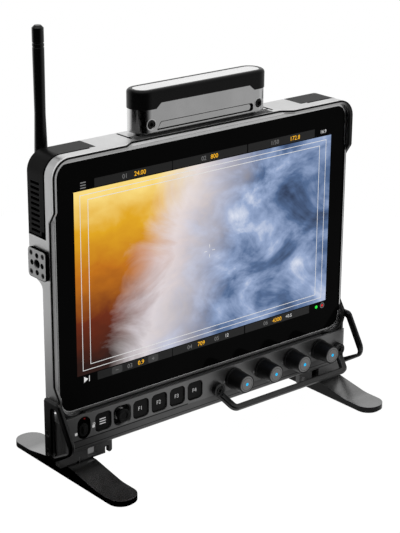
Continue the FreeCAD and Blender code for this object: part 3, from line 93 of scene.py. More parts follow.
class Graph:
    """A node tree with short calls for adding and joining nodes."""

    def __init__(self, tree: bpy.types.NodeTree) -> None:
        """Keeps the tree, emptied."""
        self.tree = tree
        tree.nodes.clear()

    def add(self, kind: str, **settings: object) -> bpy.types.Node:
        """Adds a node.

        Args:
            kind: the node's type name without its ShaderNode prefix.
            settings: attributes, or inputs when the name is that of a socket with _ for a space.

        Returns:
            The new node.
        """
        prefix = "" if kind.startswith("NodeGroup") else "ShaderNode"
        node = self.tree.nodes.new(prefix + kind)
        for name, value in settings.items():
            socket = node.inputs.get(name.replace("_", " "))
            if socket is not None and not hasattr(type(node), name):
                socket.default_value = value
            else:
                setattr(node, name, value)
        return node

    def principled(self, **settings: object) -> bpy.types.Node:
        """A Principled shader that is joined to the material's output."""
        shader = self.add("BsdfPrincipled", **settings)
        self.join(shader.outputs[0], self.add("OutputMaterial").inputs["Surface"])
        return shader

    def join(self, start: Socket, end: Socket) -> None:
        """Links one socket to another."""
        self.tree.links.new(start, end)

    def feed(self, given: Feed, socket: Socket) -> None:
        """Links a socket, or sets a number or a colour."""
        if isinstance(given, Socket):
            self.join(given, socket)
        else:
            socket.default_value = (*given, 1.0) if isinstance(given, tuple) else given

    def value(self, kind: str, *inputs: Feed) -> Socket:
        """A Math node of that operation.

        Args:
            kind: the operation.
            inputs: numbers or sockets.

        Returns:
            Its output.
        """
        node = self.add("Math", operation=kind)
        for given, socket in zip(inputs, node.inputs):
            self.feed(given, socket)
        return node.outputs[0]

    def vector(self, kind: str, first: Socket, second: Socket | Triple | None = None) -> bpy.types.Node:
        """A VectorMath node of that operation.

        Args:
            kind: the operation.
            first: the first vector.
            second: the second vector, where the operation has one.

        Returns:
            The node.
        """
        node = self.add("VectorMath", operation=kind)
        self.join(first, node.inputs[0])
        if isinstance(second, tuple):
            node.inputs[1].default_value = second
        elif second is not None:
            self.join(second, node.inputs[1])
        return node

    def swing(self, base: Socket, source: Socket, share: float) -> Socket:
        """The base plus a share of how far the source is from one half."""
        return self.value("ADD", base, self.value("MULTIPLY", self.value("SUBTRACT", source, 0.5), share))

    def mix(self, factor: Feed, first: Feed, second: Feed) -> Socket:
        """A colour mix.

        Args:
            factor: socket or number.
            first: socket or colour at factor 0.
            second: socket or colour at factor 1.

        Returns:
            The mixed colour.
        """
        node = self.add("Mix", data_type="RGBA")
        for given, place in ((factor, 0), (first, 6), (second, 7)):
            self.feed(given, node.inputs[place])
        return node.outputs[2]

    def along(self, source: Socket, axis: str) -> Socket:
        """A vector's X, Y or Z."""
        split = self.add("SeparateXYZ")
        self.join(source, split.inputs[0])
        return split.outputs[axis]

    def spread(self, source: Socket, low: float, high: float, start: float, end: float) -> Socket:
        """Maps a value from low..high to start..end, smoothly and held at the ends.

        Args:
            source: the value.
            low: where the change begins.
            high: where it ends.
            start: result at low.
            end: result at high.

        Returns:
            The mapped value.
        """
        node = self.add("MapRange", interpolation_type="SMOOTHSTEP")
        self.join(source, node.inputs["Value"])
        for name, number in (("From Min", low), ("From Max", high), ("To Min", start), ("To Max", end)):
            node.inputs[name].default_value = number
        return node.outputs["Result"]

    def ramp(self, source: Socket, *stops: tuple[float, Colour]) -> Socket:
        """A colour ramp.

        Args:
            source: the value that runs along the ramp.
            stops: places and colours, in order.

        Returns:
            The colour.
        """
        node = self.add("ValToRGB")
        band = node.color_ramp
        while len(band.elements) < len(stops):
            band.elements.new(1.0)
        for element, (place, colour) in zip(band.elements, stops):
            element.position = place
            element.color = (*colour, 1.0)
        self.join(source, node.inputs["Fac"])
        return node.outputs["Color"]


def node_material(name: str) -> tuple[bpy.types.Material, Graph]:
    """A new material and its emptied node tree."""
    material = bpy.data.materials.new(name)
    material.use_nodes = True
    return material, Graph(material.node_tree)


class SurfaceGroups:
    """The shader node groups that several finishes share, each built once."""

    @staticmethod
    def begin(name: str, given: str, **results: str) -> tuple[Graph, Socket, bpy.types.NodeInputs]:
        """Starts a group.

        Args:
            name: the group's name.
            given: its one input, a number.
            results: its outputs, each Float or Vector.

        Returns:
            Its graph, its input and the sockets that its outputs are fed by.
        """
        tree = bpy.data.node_groups.new(name, "ShaderNodeTree")
        graph = Graph(tree)
        tree.interface.new_socket(given, in_out="INPUT", socket_type="NodeSocketFloat")
        for result, kind in results.items():
            tree.interface.new_socket(result, in_out="OUTPUT", socket_type=f"NodeSocket{kind}")
        return graph, graph.add("NodeGroupInput").outputs[given], graph.add("NodeGroupOutput").inputs

    @classmethod
    def grain(cls) -> bpy.types.ShaderNodeTree:
        """Fine grain and broad mottling from two noises on Object coordinates.

        Returns:
            A group with input Scale and outputs Fine and Mottle.
        """
        graph, scale, results = cls.begin("surface_grain", "Scale", Fine="Float", Mottle="Float")
        place = graph.add("TexCoord")
        fine = graph.add("TexNoise", Detail=2.0, Roughness=0.6)
        broad = graph.add("TexNoise", Scale=28.0, Detail=4.0, Roughness=0.55)
        for noise in (fine, broad):
            graph.join(place.outputs["Object"], noise.inputs["Vector"])
        graph.join(scale, fine.inputs["Scale"])
        graph.join(fine.outputs["Fac"], results["Fine"])
        graph.join(graph.spread(broad.outputs["Fac"], 0.35, 0.65, 0.0, 1.0), results["Mottle"])
        return graph.tree

    @classmethod
    def edge(cls) -> bpy.types.ShaderNodeTree:
        """Rounded shading normals and a mask of the edges, where the rounded and the true normal part.

        Returns:
            A group with input Radius and outputs Edge and Normal.
        """
        graph, radius, results = cls.begin("soft_edge", "Radius", Edge="Float", Normal="Vector")
        bevel = graph.add("Bevel", samples=6)
        graph.join(radius, bevel.inputs["Radius"])
        dot = graph.vector("DOT_PRODUCT", bevel.outputs["Normal"], graph.add("NewGeometry").outputs["Normal"])
        graph.join(graph.spread(dot.outputs["Value"], 0.99, 0.8, 0.0, 1.0), results["Edge"])
        graph.join(bevel.outputs["Normal"], results["Normal"])
        return graph.tree


GRAIN = SurfaceGroups.grain()
EDGE = SurfaceGroups.edge()


@dataclass(frozen=True)
class Finish:
    """A surface finish: two near colours, gloss, grain, painted highlights on its edges and painted shade.

    Attributes:
        name: the material's name, the same as its slot in the record where it has one.
        dark: colour of the darker mottling.
        light: colour of the lighter mottling.
        gloss: roughness where the grain is low and where it is high.
        metal: metallic share.
        grain: grain cells per metre.
        bump: grain height in metres.
        edge: grey level of the highlight painted on edges.
        edge_highlight: share of that painted grey on an edge.
        radius: how far an edge looks rounded.
        mirror: specular level.
        painted_shade_axes: axes along which painted shade gives way to the full colour, each with where it is
            shade and where full.
        painted_shade_sides: True if faces that don't look up get painted shade, so that only faces that look
            up have the full colour.
    """

    name: str
    dark: Colour
    light: Colour
    gloss: Pair = (0.4, 0.55)
    metal: float = 0.0
    grain: float = 4000.0
    bump: float = 0.00002
    edge: float = 0.3
    edge_highlight: float = 0.0
    radius: float = 0.0004
    mirror: float = 0.5
    painted_shade_axes: tuple[tuple[str, float, float], ...] = ()
    painted_shade_sides: bool = False

    def colour(self, graph: Graph, mottle: Socket, edge: Socket) -> Socket:
        """The colour over the surface.

        Args:
            graph: the material's tree.
            mottle: mask of the lighter mottling.
            edge: mask of the edges.

        Returns:
            The colour, with its painted edge highlights and painted shade.
        """
        colour = graph.mix(mottle, self.dark, self.light)
        # Painted highlight: edges are mixed towards the edge grey
        if self.edge_highlight:
            colour = graph.mix(graph.value("MULTIPLY", edge, self.edge_highlight), colour, grey(self.edge))
        # Painted shade: darker towards one end of each given axis
        for axis, dark, full in self.painted_shade_axes:
            along = graph.along(graph.add("TexCoord").outputs["Object"], axis)
            colour = graph.mix(graph.spread(along, dark, full, 0.0, 1.0), SHADE, colour)
        # Painted shade: faces that turn away from up are darkened
        if self.painted_shade_sides:
            facing = graph.along(graph.add("TexCoord").outputs["Normal"], "Z")
            colour = graph.mix(graph.spread(facing, 0.3, 0.9, 0.0, 1.0), SHADE, colour)
        return colour

    def make(self) -> bpy.types.Material:
        """Builds the material.

        Returns:
            A node material on Object coordinates.
        """
        material, graph = node_material(self.name)
        shader = graph.principled(Metallic=self.metal, Specular_IOR_Level=self.mirror)
        grain = graph.add("Group", node_tree=GRAIN, Scale=self.grain)
        soft = graph.add("Group", node_tree=EDGE, Radius=self.radius)
        colour = self.colour(graph, grain.outputs["Mottle"], soft.outputs["Edge"])
        graph.join(colour, shader.inputs["Base Color"])
        rough = graph.spread(grain.outputs["Fine"], 0.3, 0.7, *self.gloss)
        graph.join(rough, shader.inputs["Roughness"])
        bump = graph.add("Bump", Strength=1.0, Distance=self.bump)
        graph.join(grain.outputs["Fine"], bump.inputs["Height"])
        graph.join(soft.outputs["Normal"], bump.inputs["Normal"])
        graph.join(bump.outputs["Normal"], shader.inputs["Normal"])
        return material


@dataclass(frozen=True)
class Ink:
    """A printed or lit mark.

    Attributes:
        name: the material's name.
        colour: its colour.
        glow: how much of the colour it gives off by itself.
        mirror: specular level.
    """

    name: str
    colour: Colour
    glow: float = 0.0
    mirror: float = 0.3

    def make(self) -> bpy.types.Material:
        """Builds the material, with a slight unevenness in the colour.

        Returns:
            A node material on Object coordinates.
        """
        material, graph = node_material(self.name)
        shader = graph.principled(
            Roughness=0.35, Specular_IOR_Level=self.mirror, Emission_Strength=self.glow
        )
        grain = graph.add("Group", node_tree=GRAIN, Scale=2500.0)
        faint = tuple(channel * 0.85 for channel in self.colour)
        colour = graph.mix(grain.outputs["Fine"], faint, self.colour)
        graph.join(colour, shader.inputs["Base Color"])
        if self.glow:
            graph.join(colour, shader.inputs["Emission Color"])
        return material


# After name and colours: gloss, metal, grain, bump, grey and share of the painted edge highlight, edge
# radius, mirror
FINISHES = (
    Finish(
        "trim_metal", grey(0.74), grey(0.80), (0.34, 0.42), 0.4, 3000.0, 2e-6,
        # Painted shade: the trim darkens towards the bottom and towards its right end
        painted_shade_axes=(("Z", 0.05, 0.075), ("X", 0.121, 0.110)),
    ),
    Finish("chassis_metal", grey(0.74), grey(0.80), (0.32, 0.42), 1.0, 5000.0, 6e-6, 0.9, 0.4, 0.0005),
    Finish("bezel_metal", grey(0.84), grey(0.90), (0.22, 0.27), 1.0, 3000.0, 1e-6, 0.95, 0.5, 0.0003),
    Finish("black_rubber", BLACK, grey(0.005), (0.5, 0.65), 0.0, 2500.0, 2e-5, 0.02, 0.3, mirror=0.15),
    Finish(
        "screen_glass", grey(0.0038), grey(0.0044), (0.05, 0.07), 0.0, 60.0, 0.0,
        radius=0.0002, mirror=0.02,
    ),
    Finish("screen_panel", grey(0.01), grey(0.015), (0.2, 0.3)),
    Finish("circuit_board", (0.01, 0.07, 0.03), (0.015, 0.10, 0.045), (0.35, 0.5), 0.0, 900.0, 3e-5),
    Finish("sink_metal", grey(0.42), grey(0.5), (0.35, 0.5), 1.0, 1500.0),
    Finish("black_plastic", BLACK, grey(0.0045), (0.30, 0.42), 0.0, 2600.0, 1e-5, 0.03, 0.4, mirror=0.06),
    Finish("cover_metal", grey(0.03), grey(0.04), (0.36, 0.48), 0.5, 4500.0, 1e-5, 0.2, 0.4),
    Finish("vent_metal", grey(0.11), grey(0.14), (0.34, 0.46), 0.7, 4500.0, 1e-5, 0.3, 0.5, 0.0002),
    Finish("plate_metal", grey(0.50), grey(0.56), (0.32, 0.44), 1.0, 5000.0, 6e-6, 0.7, 0.5),
    Finish("black_screw", grey(0.02), grey(0.03), (0.25, 0.36), 0.8, 2000.0, 1e-5, 0.3, 0.6, 0.0002),
    Finish("jack_metal", grey(0.5), grey(0.58), (0.2, 0.3), 1.0, 2500.0, 5e-6, 0.8, 0.4, 0.0003),
    Finish("antenna_plastic", BLACK, grey(0.004), (0.28, 0.4), 0.0, 2500.0, 1e-5, 0.04, 0.5, mirror=0.35),
    Finish("antenna_rubber", BLACK, grey(0.004), (0.22, 0.30), 0.0, 2500.0, 1e-5, 0.03, 0.4, mirror=0.4),
    Finish("receiver_metal", grey(0.62), grey(0.68), (0.17, 0.24), 1.0, 5000.0, 3e-6, 0.85, 0.6, 0.0003),
    Finish("radome_plastic", BLACK, grey(0.004), (0.24, 0.34), 0.0, 3200.0, 1e-5, 0.05, 0.4, mirror=0.18),
    Finish("panel_metal", grey(0.21), grey(0.24), (0.34, 0.46), 0.85, 5000.0, 1e-5, 0.40, 0.5, 0.0003),
    # Painted shade: a darker copy of panel_metal for the panel's foot
    Finish("panel_metal_shaded", grey(0.14), grey(0.16), (0.34, 0.46), 0.85, 5000.0, 1e-5),
    Finish("key_plastic", BLACK, grey(0.005), (0.45, 0.6), 0.0, 3000.0, 2e-5, 0.04, 0.5, 0.0003, 0.2),
    Finish("stick_plastic", BLACK, grey(0.005), (0.16, 0.26), 0.0, 2500.0, 1e-5, 0.08, 0.4, 0.0003, 0.15),
    Finish("knob_metal", grey(0.005), grey(0.008), (0.32, 0.44), 0.1, 4500.0, 1e-5, 0.10, 0.5, 0.0003, 0.25),
    Finish("knob_cap_metal", grey(0.25), grey(0.29), (0.34, 0.44), 0.7, 4500.0, 1e-5, 0.4, 0.5, 0.0002),
    Finish("shaft_steel", grey(0.4), grey(0.48), (0.25, 0.35), 1.0, 2000.0, 5e-6),
    Finish("guard_metal", grey(0.055), grey(0.07), (0.30, 0.40), 1.0, 4500.0, 1e-5, 0.4, 0.6, 0.0003),
    # Painted light: a lighter copy of guard_metal for the foot mounts
    Finish("guard_metal_lit", grey(0.10), grey(0.13), (0.34, 0.44), 0.7, 4500.0, 1e-5, 0.4, 0.6, 0.0003),
    Finish(
        "foot_metal", grey(0.27), grey(0.31), (0.21, 0.27), 1.0, 4500.0, 4e-6,
        # Painted shade on the feet's sides
        radius=0.0003, painted_shade_sides=True,
    ),
)

# The foot mounts get the lighter copy of guard_metal, painted light
OWN_FINISHES = {"left_foot_mount": "guard_metal_lit", "right_foot_mount": "guard_metal_lit"}

INKS = (
    # Painted light: the white, grey and red inks glow by themselves, on print and in the left mount's window
    Ink("white_ink_glow", grey(0.7), 0.35),
    Ink("grey_ink_glow", grey(0.4), 0.2),
    Ink("red_ink_glow", (0.3, 0.004, 0.004), 0.2),
    Ink("cyan_light", (0.0, 0.42, 0.8), 1.0),
    Ink("bar_light", grey(0.006), 0.8),
    Ink("button_light", grey(0.03), 1.0),
    Ink("line_light", grey(0.72), 0.75),
    Ink("grey_light", grey(0.14), 1.0),
    Ink("amber_light", (0.9, 0.45, 0.01), 1.0),
    Ink("white_light", grey(0.6), 1.0),
    Ink("green_light", (0.02, 0.75, 0.05), 1.0),
    Ink("red_light", (0.65, 0.02, 0.02), 1.0),
    Ink("groove_ink", grey(0.015)),
    # Black for dark parts, and painted shade in slots, grooves, vents, holes and a window
    Ink("black_and_shade_ink", grey(0.0015), mirror=0.0),
)


@dataclass
class Shell:
    """Points and faces of a piece before it is a mesh.

    Attributes:
        points: array of (n, 3).
        faces: lists of point numbers, anticlockwise seen from outside.
    """

    points: np.ndarray
    faces: list[list[int]]

    @staticmethod
    def joined(shells: list["Shell"]) -> "Shell":
        """Several shells as one, with the point numbers moved on.

        Args:
            shells: what is put together.

        Returns:
            The joined shell.
        """
        starts = np.cumsum([0] + [len(shell.points) for shell in shells[:-1]]).tolist()
        faces = [[start + i for i in face] for start, shell in zip(starts, shells) for face in shell.faces]
        return Shell(np.vstack([shell.points for shell in shells]), faces)


def rounded_loop(width: float, height: float, radius: float, steps: int = 6) -> np.ndarray:
    """A rectangle's outline with quarter circles at its corners: corner centre + radius (cos t, sin t).

    Args:
        width: size across.
        height: size up.
        radius: of the corners.
        steps: points on each corner.

    Returns:
        Array of (4 steps, 2), anticlockwise.
    """
    turn = np.linspace(0.0, math.pi / 2, steps)
    angle = (turn + np.arange(4)[:, None] * math.pi / 2).ravel()
    signs = np.repeat(np.array([(1, 1), (-1, 1), (-1, -1), (1, -1)]), steps, axis=0)
    centre = signs * (np.array([width, height]) / 2 - radius)
    return centre + radius * np.column_stack([np.cos(angle), np.sin(angle)])


def round_loop(radius: float, steps: int = 32) -> np.ndarray:
    """A circle: radius (cos t, sin t) for t once round, anticlockwise, as an array of (steps, 2)."""
    angle = np.arange(steps) * 2 * math.pi / steps
    return radius * np.column_stack([np.cos(angle), np.sin(angle)])


def lifted(loop: np.ndarray, out: float, centre: Pair = MIDDLE) -> np.ndarray:
    """A flat loop of (n, 2) moved to a centre and given one height out of its face, as an array of (n, 3)."""
    flat = loop + np.asarray(centre)
    return np.column_stack([flat, np.full(len(flat), out)])


def lofted(loops: np.ndarray, closed: bool) -> Shell:
    """Loops of equal length joined in order by quads; a chain that isn't closed gets a fan at each end.

    Args:
        loops: array of (m, n, 3), from the inner or lower loop outwards.
        closed: True joins the last loop to the first, as round a frame.

    Returns:
        A closed shell.
    """
    count, size = loops.shape[:2]
    here = np.arange(size)
    ahead = np.roll(here, -1)
    last = count if closed else count - 1
    base = (np.arange(last) * size)[:, None]
    upper = ((np.arange(last) + 1) % count * size)[:, None]
    quads = np.stack([base + here, base + ahead, upper + ahead, upper + here], axis=-1).reshape(-1, 4)
    points = loops.reshape(-1, 3)
    faces = quads.tolist()
    if not closed:
        low, high = len(points), len(points) + 1
        top = (count - 1) * size
        points = np.vstack([points, loops[0].mean(0), loops[-1].mean(0)])
        faces += np.column_stack([ahead, here, np.full(size, low)]).tolist()
        faces += np.column_stack([top + here, top + ahead, np.full(size, high)]).tolist()
    return Shell(points, faces)


@dataclass
class Plane:
    """A face that carries marks: a point on it and its own right and up.

    Its marks have a centre on the face and a lift, which is how far they stand out of it.

    Attributes:
        origin: the marks' zero.
        right: unit direction.
        up: unit direction; right x up points out of the face.
    """

    origin: Triple
    right: Triple = (1.0, 0.0, 0.0)
    up: Triple = (0.0, 0.0, 1.0)

    @staticmethod
    def front(node: str) -> "Plane":
        """The front face of a node, with its zero in the middle."""
        low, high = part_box(node)
        return Plane(((low.x + high.x) / 2, low.y, (low.z + high.z) / 2))

    def at(self, flat: np.ndarray) -> np.ndarray:
        """Points of the face's own (right, up, out), an array of (..., 3), carried into the frame."""
        axes = np.array([self.right, self.up, np.cross(self.right, self.up)])
        return np.asarray(self.origin) + flat @ axes

    def plate(self, loop: np.ndarray, centre: Pair = MIDDLE, lift: float = INK_LIFT) -> Shell:
        """A filled mark: its outline carried straight from just under the face to its lift."""
        loops = [lifted(loop, out, centre) for out in (-INK_ROOT, lift)]
        return lofted(self.at(np.stack(loops)), False)

    def band(
        self, outer: np.ndarray, inner: np.ndarray, centre: Pair = MIDDLE, lift: float = INK_LIFT
    ) -> Shell:
        """A line between two outlines of as many points: a small rectangle carried along them."""
        section = ((outer, lift), (inner, lift), (inner, -INK_ROOT), (outer, -INK_ROOT))
        return lofted(self.at(np.stack([lifted(loop, out, centre) for loop, out in section])), True)

    def bar(
        self, size: Pair, centre: Pair = MIDDLE, lift: float = INK_LIFT, corner: float = SQUARE
    ) -> Shell:
        """A plate of that width and height, whose four corners are cut."""
        return self.plate(rounded_loop(*size, corner, 2), centre, lift)

    def disc(self, radius: float, centre: Pair = MIDDLE, lift: float = INK_LIFT, steps: int = 32) -> Shell:
        """A round plate."""
        return self.plate(round_loop(radius, steps), centre, lift)

    def ring(
        self, radii: Pair, centre: Pair = MIDDLE, lift: float = INK_LIFT, steps: int = 32
    ) -> Shell:
        """A round line between an outer and an inner radius."""
        return self.band(*(round_loop(radius, steps) for radius in radii), centre, lift)

    def figures(self, words: str, height: float, place: Pair = MIDDLE) -> Shell:
        """Plain figures as a thin solid: the font's outlines, scaled so that a capital has the given height.

        Args:
            words: what is written.
            height: of a capital.
            place: the middle of the words.

        Returns:
            A closed shell.
        """
        curve = bpy.data.curves.new("figures", "FONT")
        curve.body = words
        curve.align_x = "CENTER"
        curve.resolution_u = 3
        curve.extrude = (INK_LIFT + INK_ROOT) / 2 / height * CAPITAL
        holder = bpy.data.objects.new("figures", curve)
        mesh = bpy.data.meshes.new_from_object(holder)
        flat = np.empty(len(mesh.vertices) * 3)
        mesh.vertices.foreach_get("co", flat)
        flat = flat.reshape(-1, 3) * height / CAPITAL
        flat += np.array([place[0], place[1] - height / 2, (INK_LIFT - INK_ROOT) / 2])
        faces = [list(polygon.vertices) for polygon in mesh.polygons]
        bpy.data.objects.remove(holder)
        bpy.data.curves.remove(curve)
        bpy.data.meshes.remove(mesh)
        return Shell(self.at(flat), faces)


def node_solids(node: str) -> list[np.ndarray]:
    """The points of each solid of a node: all take the lowest number that a triangle joins them to.

    Args:
        node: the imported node.

    Returns:
        One array of (n, 3) for each solid.
    """
    mesh = frame["nodes"][node].data
    mesh.calc_loop_triangles()
    flat = np.empty(len(mesh.vertices) * 3)
    mesh.vertices.foreach_get("co", flat)
    corners = np.empty(len(mesh.loop_triangles) * 3, int)
    mesh.loop_triangles.foreach_get("vertices", corners)
    places, same = np.unique(np.round(flat.reshape(-1, 3), 6), axis=0, return_inverse=True)
    triangles = same.ravel()[corners].reshape(-1, 3)
    label, before = np.arange(len(places)), None
    while before is None or (before != label).any():
        before = label.copy()
        np.minimum.at(label, triangles.ravel(), np.repeat(before[triangles].min(axis=1), 3))
    return [places[label == number] for number in np.unique(label)]


class Workshop:
    """Turns shells into pieces that ride on the frame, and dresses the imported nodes."""

    def __init__(self) -> None:
        """Makes every material once."""
        self.materials = {finish.name: finish.make() for finish in (*FINISHES, *INKS)}

    def piece(
        self, name: str, shells: list[Shell], finish: str, slot: str, body: str = BODY, stands_for: str = ""
    ) -> bpy.types.Object:
        """Makes a mesh object.

        Args:
            name: the piece's name.
            shells: what it is made of.
            finish: its finish or ink.
            slot: the record's slot that it belongs to; not used.
            body: what it moves with.
            stands_for: the node that it is shown instead of, if any.

        Returns:
            The object, at the origin.
        """
        shell = Shell.joined(shells)
        mesh = bpy.data.meshes.new(name)
        mesh.from_pydata(shell.points.tolist(), [], shell.faces)
        mesh.materials.append(self.materials[finish])
        mesh.update()
        made = bpy.data.objects.new(name, mesh)
        bpy.context.scene.collection.objects.link(made)
        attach(made, body)
        if stands_for:
            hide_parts(stands_for)
        LOG.info("%s: %d faces on %s", name, len(shell.faces), body)
        return made

    def dress(self) -> None:
        """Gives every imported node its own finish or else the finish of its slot."""
        for part in frame["record"]["subparts"]:
            node = frame["nodes"][part["node"]]
            node.data.materials.clear()
            finish = OWN_FINISHES.get(part["node"], part["material_slot"])
            node.data.materials.append(self.materials[finish])
        LOG.info("%d nodes dressed", len(frame["nodes"]))


@dataclass
class Assembly:
    """A sub-assembly that gets new pieces.

    Attributes:
        shop: where its pieces are made.
    """

    shop: Workshop


@dataclass
class EdgeTrim(Assembly):
    """The trim round the front: a bright band on the frame with a thin black bead on its outer edge.

    Attributes:
        corner: radius of the frame's corners.
        wall: width of the band.
        bead: width and depth of the bead.
        bevel: how far the bead's edge is cut.
        thin: the bead's height between the corners.
        border: width and height of the black strips in front of the bezel's sides.
        rise: how far the frame's corners stand forward.
        slope: length over which they rise.
        lip_heights: where the lower corners end and the upper ones begin.
        lip_halves: half the width between the lower and between the upper corners.
        steps: points along the trim.
    """

    corner: float = 12.5 * MM
    wall: float = 2.45 * MM
    bead: Pair = (1.1 * MM, 0.7 * MM)
    bevel: float = 0.12 * MM
    thin: float = 0.85 * MM
    border: Pair = (1.3 * MM, 0.04 * MM)
    rise: float = 3.7 * MM
    slope: float = 7.5 * MM
    lip_heights: Pair = (57.2 * MM, 180.9 * MM)
    lip_halves: Pair = (112.0 * MM, 70.0 * MM)
    steps: int = 900

    def line(self, half: np.ndarray) -> tuple[np.ndarray, np.ndarray]:
        """The outer line, evenly spaced, and its outward normals: away from the rectangle of corner centres.

        Args:
            half: half the frame's width and height.

        Returns:
            Two arrays of (steps, 2).
        """
        loop = rounded_loop(*(2 * half), self.corner, 40)
        ring = np.vstack([loop, loop[:1]])
        run = np.concatenate([[0.0], np.cumsum(np.linalg.norm(np.diff(ring, axis=0), axis=1))])
        even = np.linspace(0.0, run[-1], self.steps, endpoint=False)
        place = np.column_stack([np.interp(even, run, ring[:, k]) for k in (0, 1)])
        away = place - np.clip(place, self.corner - half, half - self.corner)
        return place, away / np.linalg.norm(away, axis=1, keepdims=True)

    def lift(self, across: np.ndarray, up: np.ndarray, middle: float) -> np.ndarray:
        """Share of the rise: straight slopes from 0 between the corners to 1 on them.

        Args:
            across: places from the middle.
            up: heights over the floor.
            middle: height of the frame's middle.

        Returns:
            Array of shares.
        """
        ends = np.maximum(self.lip_heights[0] - up, up - self.lip_heights[1]) / self.slope + 1
        half = np.where(up > middle, self.lip_halves[1], self.lip_halves[0])
        sides = (np.abs(across) - half) / self.slope + 1
        return np.clip(np.minimum(ends, sides), 0.0, 1.0)

    def bands(self) -> None:
        """Carries the two sections along the line: each loop is the line drawn in by a width, at a depth."""
        low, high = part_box("edge_gasket")
        middle = (low.z + high.z) / 2
        place, normal = self.line(np.array([high.x - low.x, high.z - low.z]) / 2)
        share = self.lift(place[:, 0], place[:, 1] + middle, middle)
        base = high.y - share * self.rise
        front = high.y - self.thin - share * (high.y - self.thin - low.y)
        width, depth = self.bead
        back, cut = front + depth, front + self.bevel
        crest = np.minimum(front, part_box("front_bezel")[0].y)
        band = [(width, front), (self.wall, crest), (self.wall, base)]
        band += [(0.0, base), (0.0, back), (width, back)]
        bead = [(self.bevel, front), (width, front), (width, back), (0.0, back), (0.0, cut)]
        for name, section, finish, slot, node in (
            ("trim_band", band, "trim_metal", "chassis_metal", ""),
            ("trim_bead", bead, "black_rubber", "black_rubber", "edge_gasket"),
        ):
            flats = [(place - inward * normal, out) for inward, out in section]
            loops = [np.column_stack([flat[:, 0], out, flat[:, 1] + middle]) for flat, out in flats]
            self.shop.piece(name, [lofted(np.stack(loops), True)], finish, slot, stands_for=node)

    def borders(self) -> None:
        """Lays the glass's black border in front of the bezel's two sides."""
        low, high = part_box("cover_glass")
        lower, upper = self.lip_heights
        width, lift = self.border
        plane = Plane((0.0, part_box("front_bezel")[0].y, (lower + upper) / 2))
        places = [(low.x - width / 2, 0.0), (high.x + width / 2, 0.0)]
        strips = [plane.bar((width, upper - lower), place, lift) for place in places]
        self.shop.piece("glass_border", strips, "screen_glass", "screen_glass")

    def build(self) -> None:
        """Makes the whole trim."""
        self.bands()
        self.borders()


@dataclass
class Screws(Assembly):
    """Socket screws in place of the plain ones, each on its own solid's axis.

    Attributes:
        nodes: what they stand for.
        bevel: share of the head's radius that its edge is cut by.
        socket: share of the head's radius across the flats.
        deep: share of the head's height that the socket is deep.
        near: share of the furthest point from which points count as the head's rim or the shank's end.
        steps: points round a screw.
    """

    nodes: tuple[str, ...] = ("hex_screws", "small_screws", "stand_screws")
    bevel: float = 0.12
    socket: float = 0.55
    deep: float = 0.75
    near: float = 0.9
    steps: int = 36

    def screw(self, points: np.ndarray) -> Shell:
        """A turned screw with a six-sided socket, whose radius is flat / cos(angle from the nearest flat).

        Args:
            points: of the plain screw.

        Returns:
            Its shell.
        """
        low, high = points.min(0), points.max(0)
        size = high - low
        axis = int(np.argmin([abs(size[k - 1] - size[k - 2]) for k in range(3)]))
        middle = (low + high) / 2
        away = np.linalg.norm(np.delete(points - middle, axis, 1), axis=1)
        along = points[:, axis] - middle[axis]
        radius = away.max()
        rim = along[away > self.near * radius]
        side = float(np.sign(rim.mean()))
        head = np.ptp(rim)
        shank = away[along * side < self.near * (along * side).min()].max()
        out = np.eye(3)[axis] * side
        up = np.eye(3)[1 if axis == 2 else 2]
        plane = Plane(tuple(middle + out * size[axis] / 2), tuple(np.cross(up, out)), tuple(up))
        turn = np.arange(self.steps) * 2 * math.pi / self.steps
        flats = np.cos((turn + math.pi / 6) % (math.pi / 3) - math.pi / 6)
        hexagon = round_loop(1.0, self.steps) * (self.socket * radius / flats)[:, None]
        cut = self.bevel * radius
        rings = [(shank, -size[axis]), (shank, -head), (radius, -head), (radius, -cut), (radius - cut, 0.0)]
        loops = [lifted(round_loop(wide, self.steps), height) for wide, height in rings]
        loops += [lifted(hexagon, height) for height in (0.0, -self.deep * head)]
        return lofted(plane.at(np.stack(loops)), False)

    def build(self) -> None:
        """Makes the screws of every node."""
        for node in self.nodes:
            made = [self.screw(points) for points in node_solids(node)]
            self.shop.piece(f"socket_{node}", made, "black_screw", "black_screw", stands_for=node)


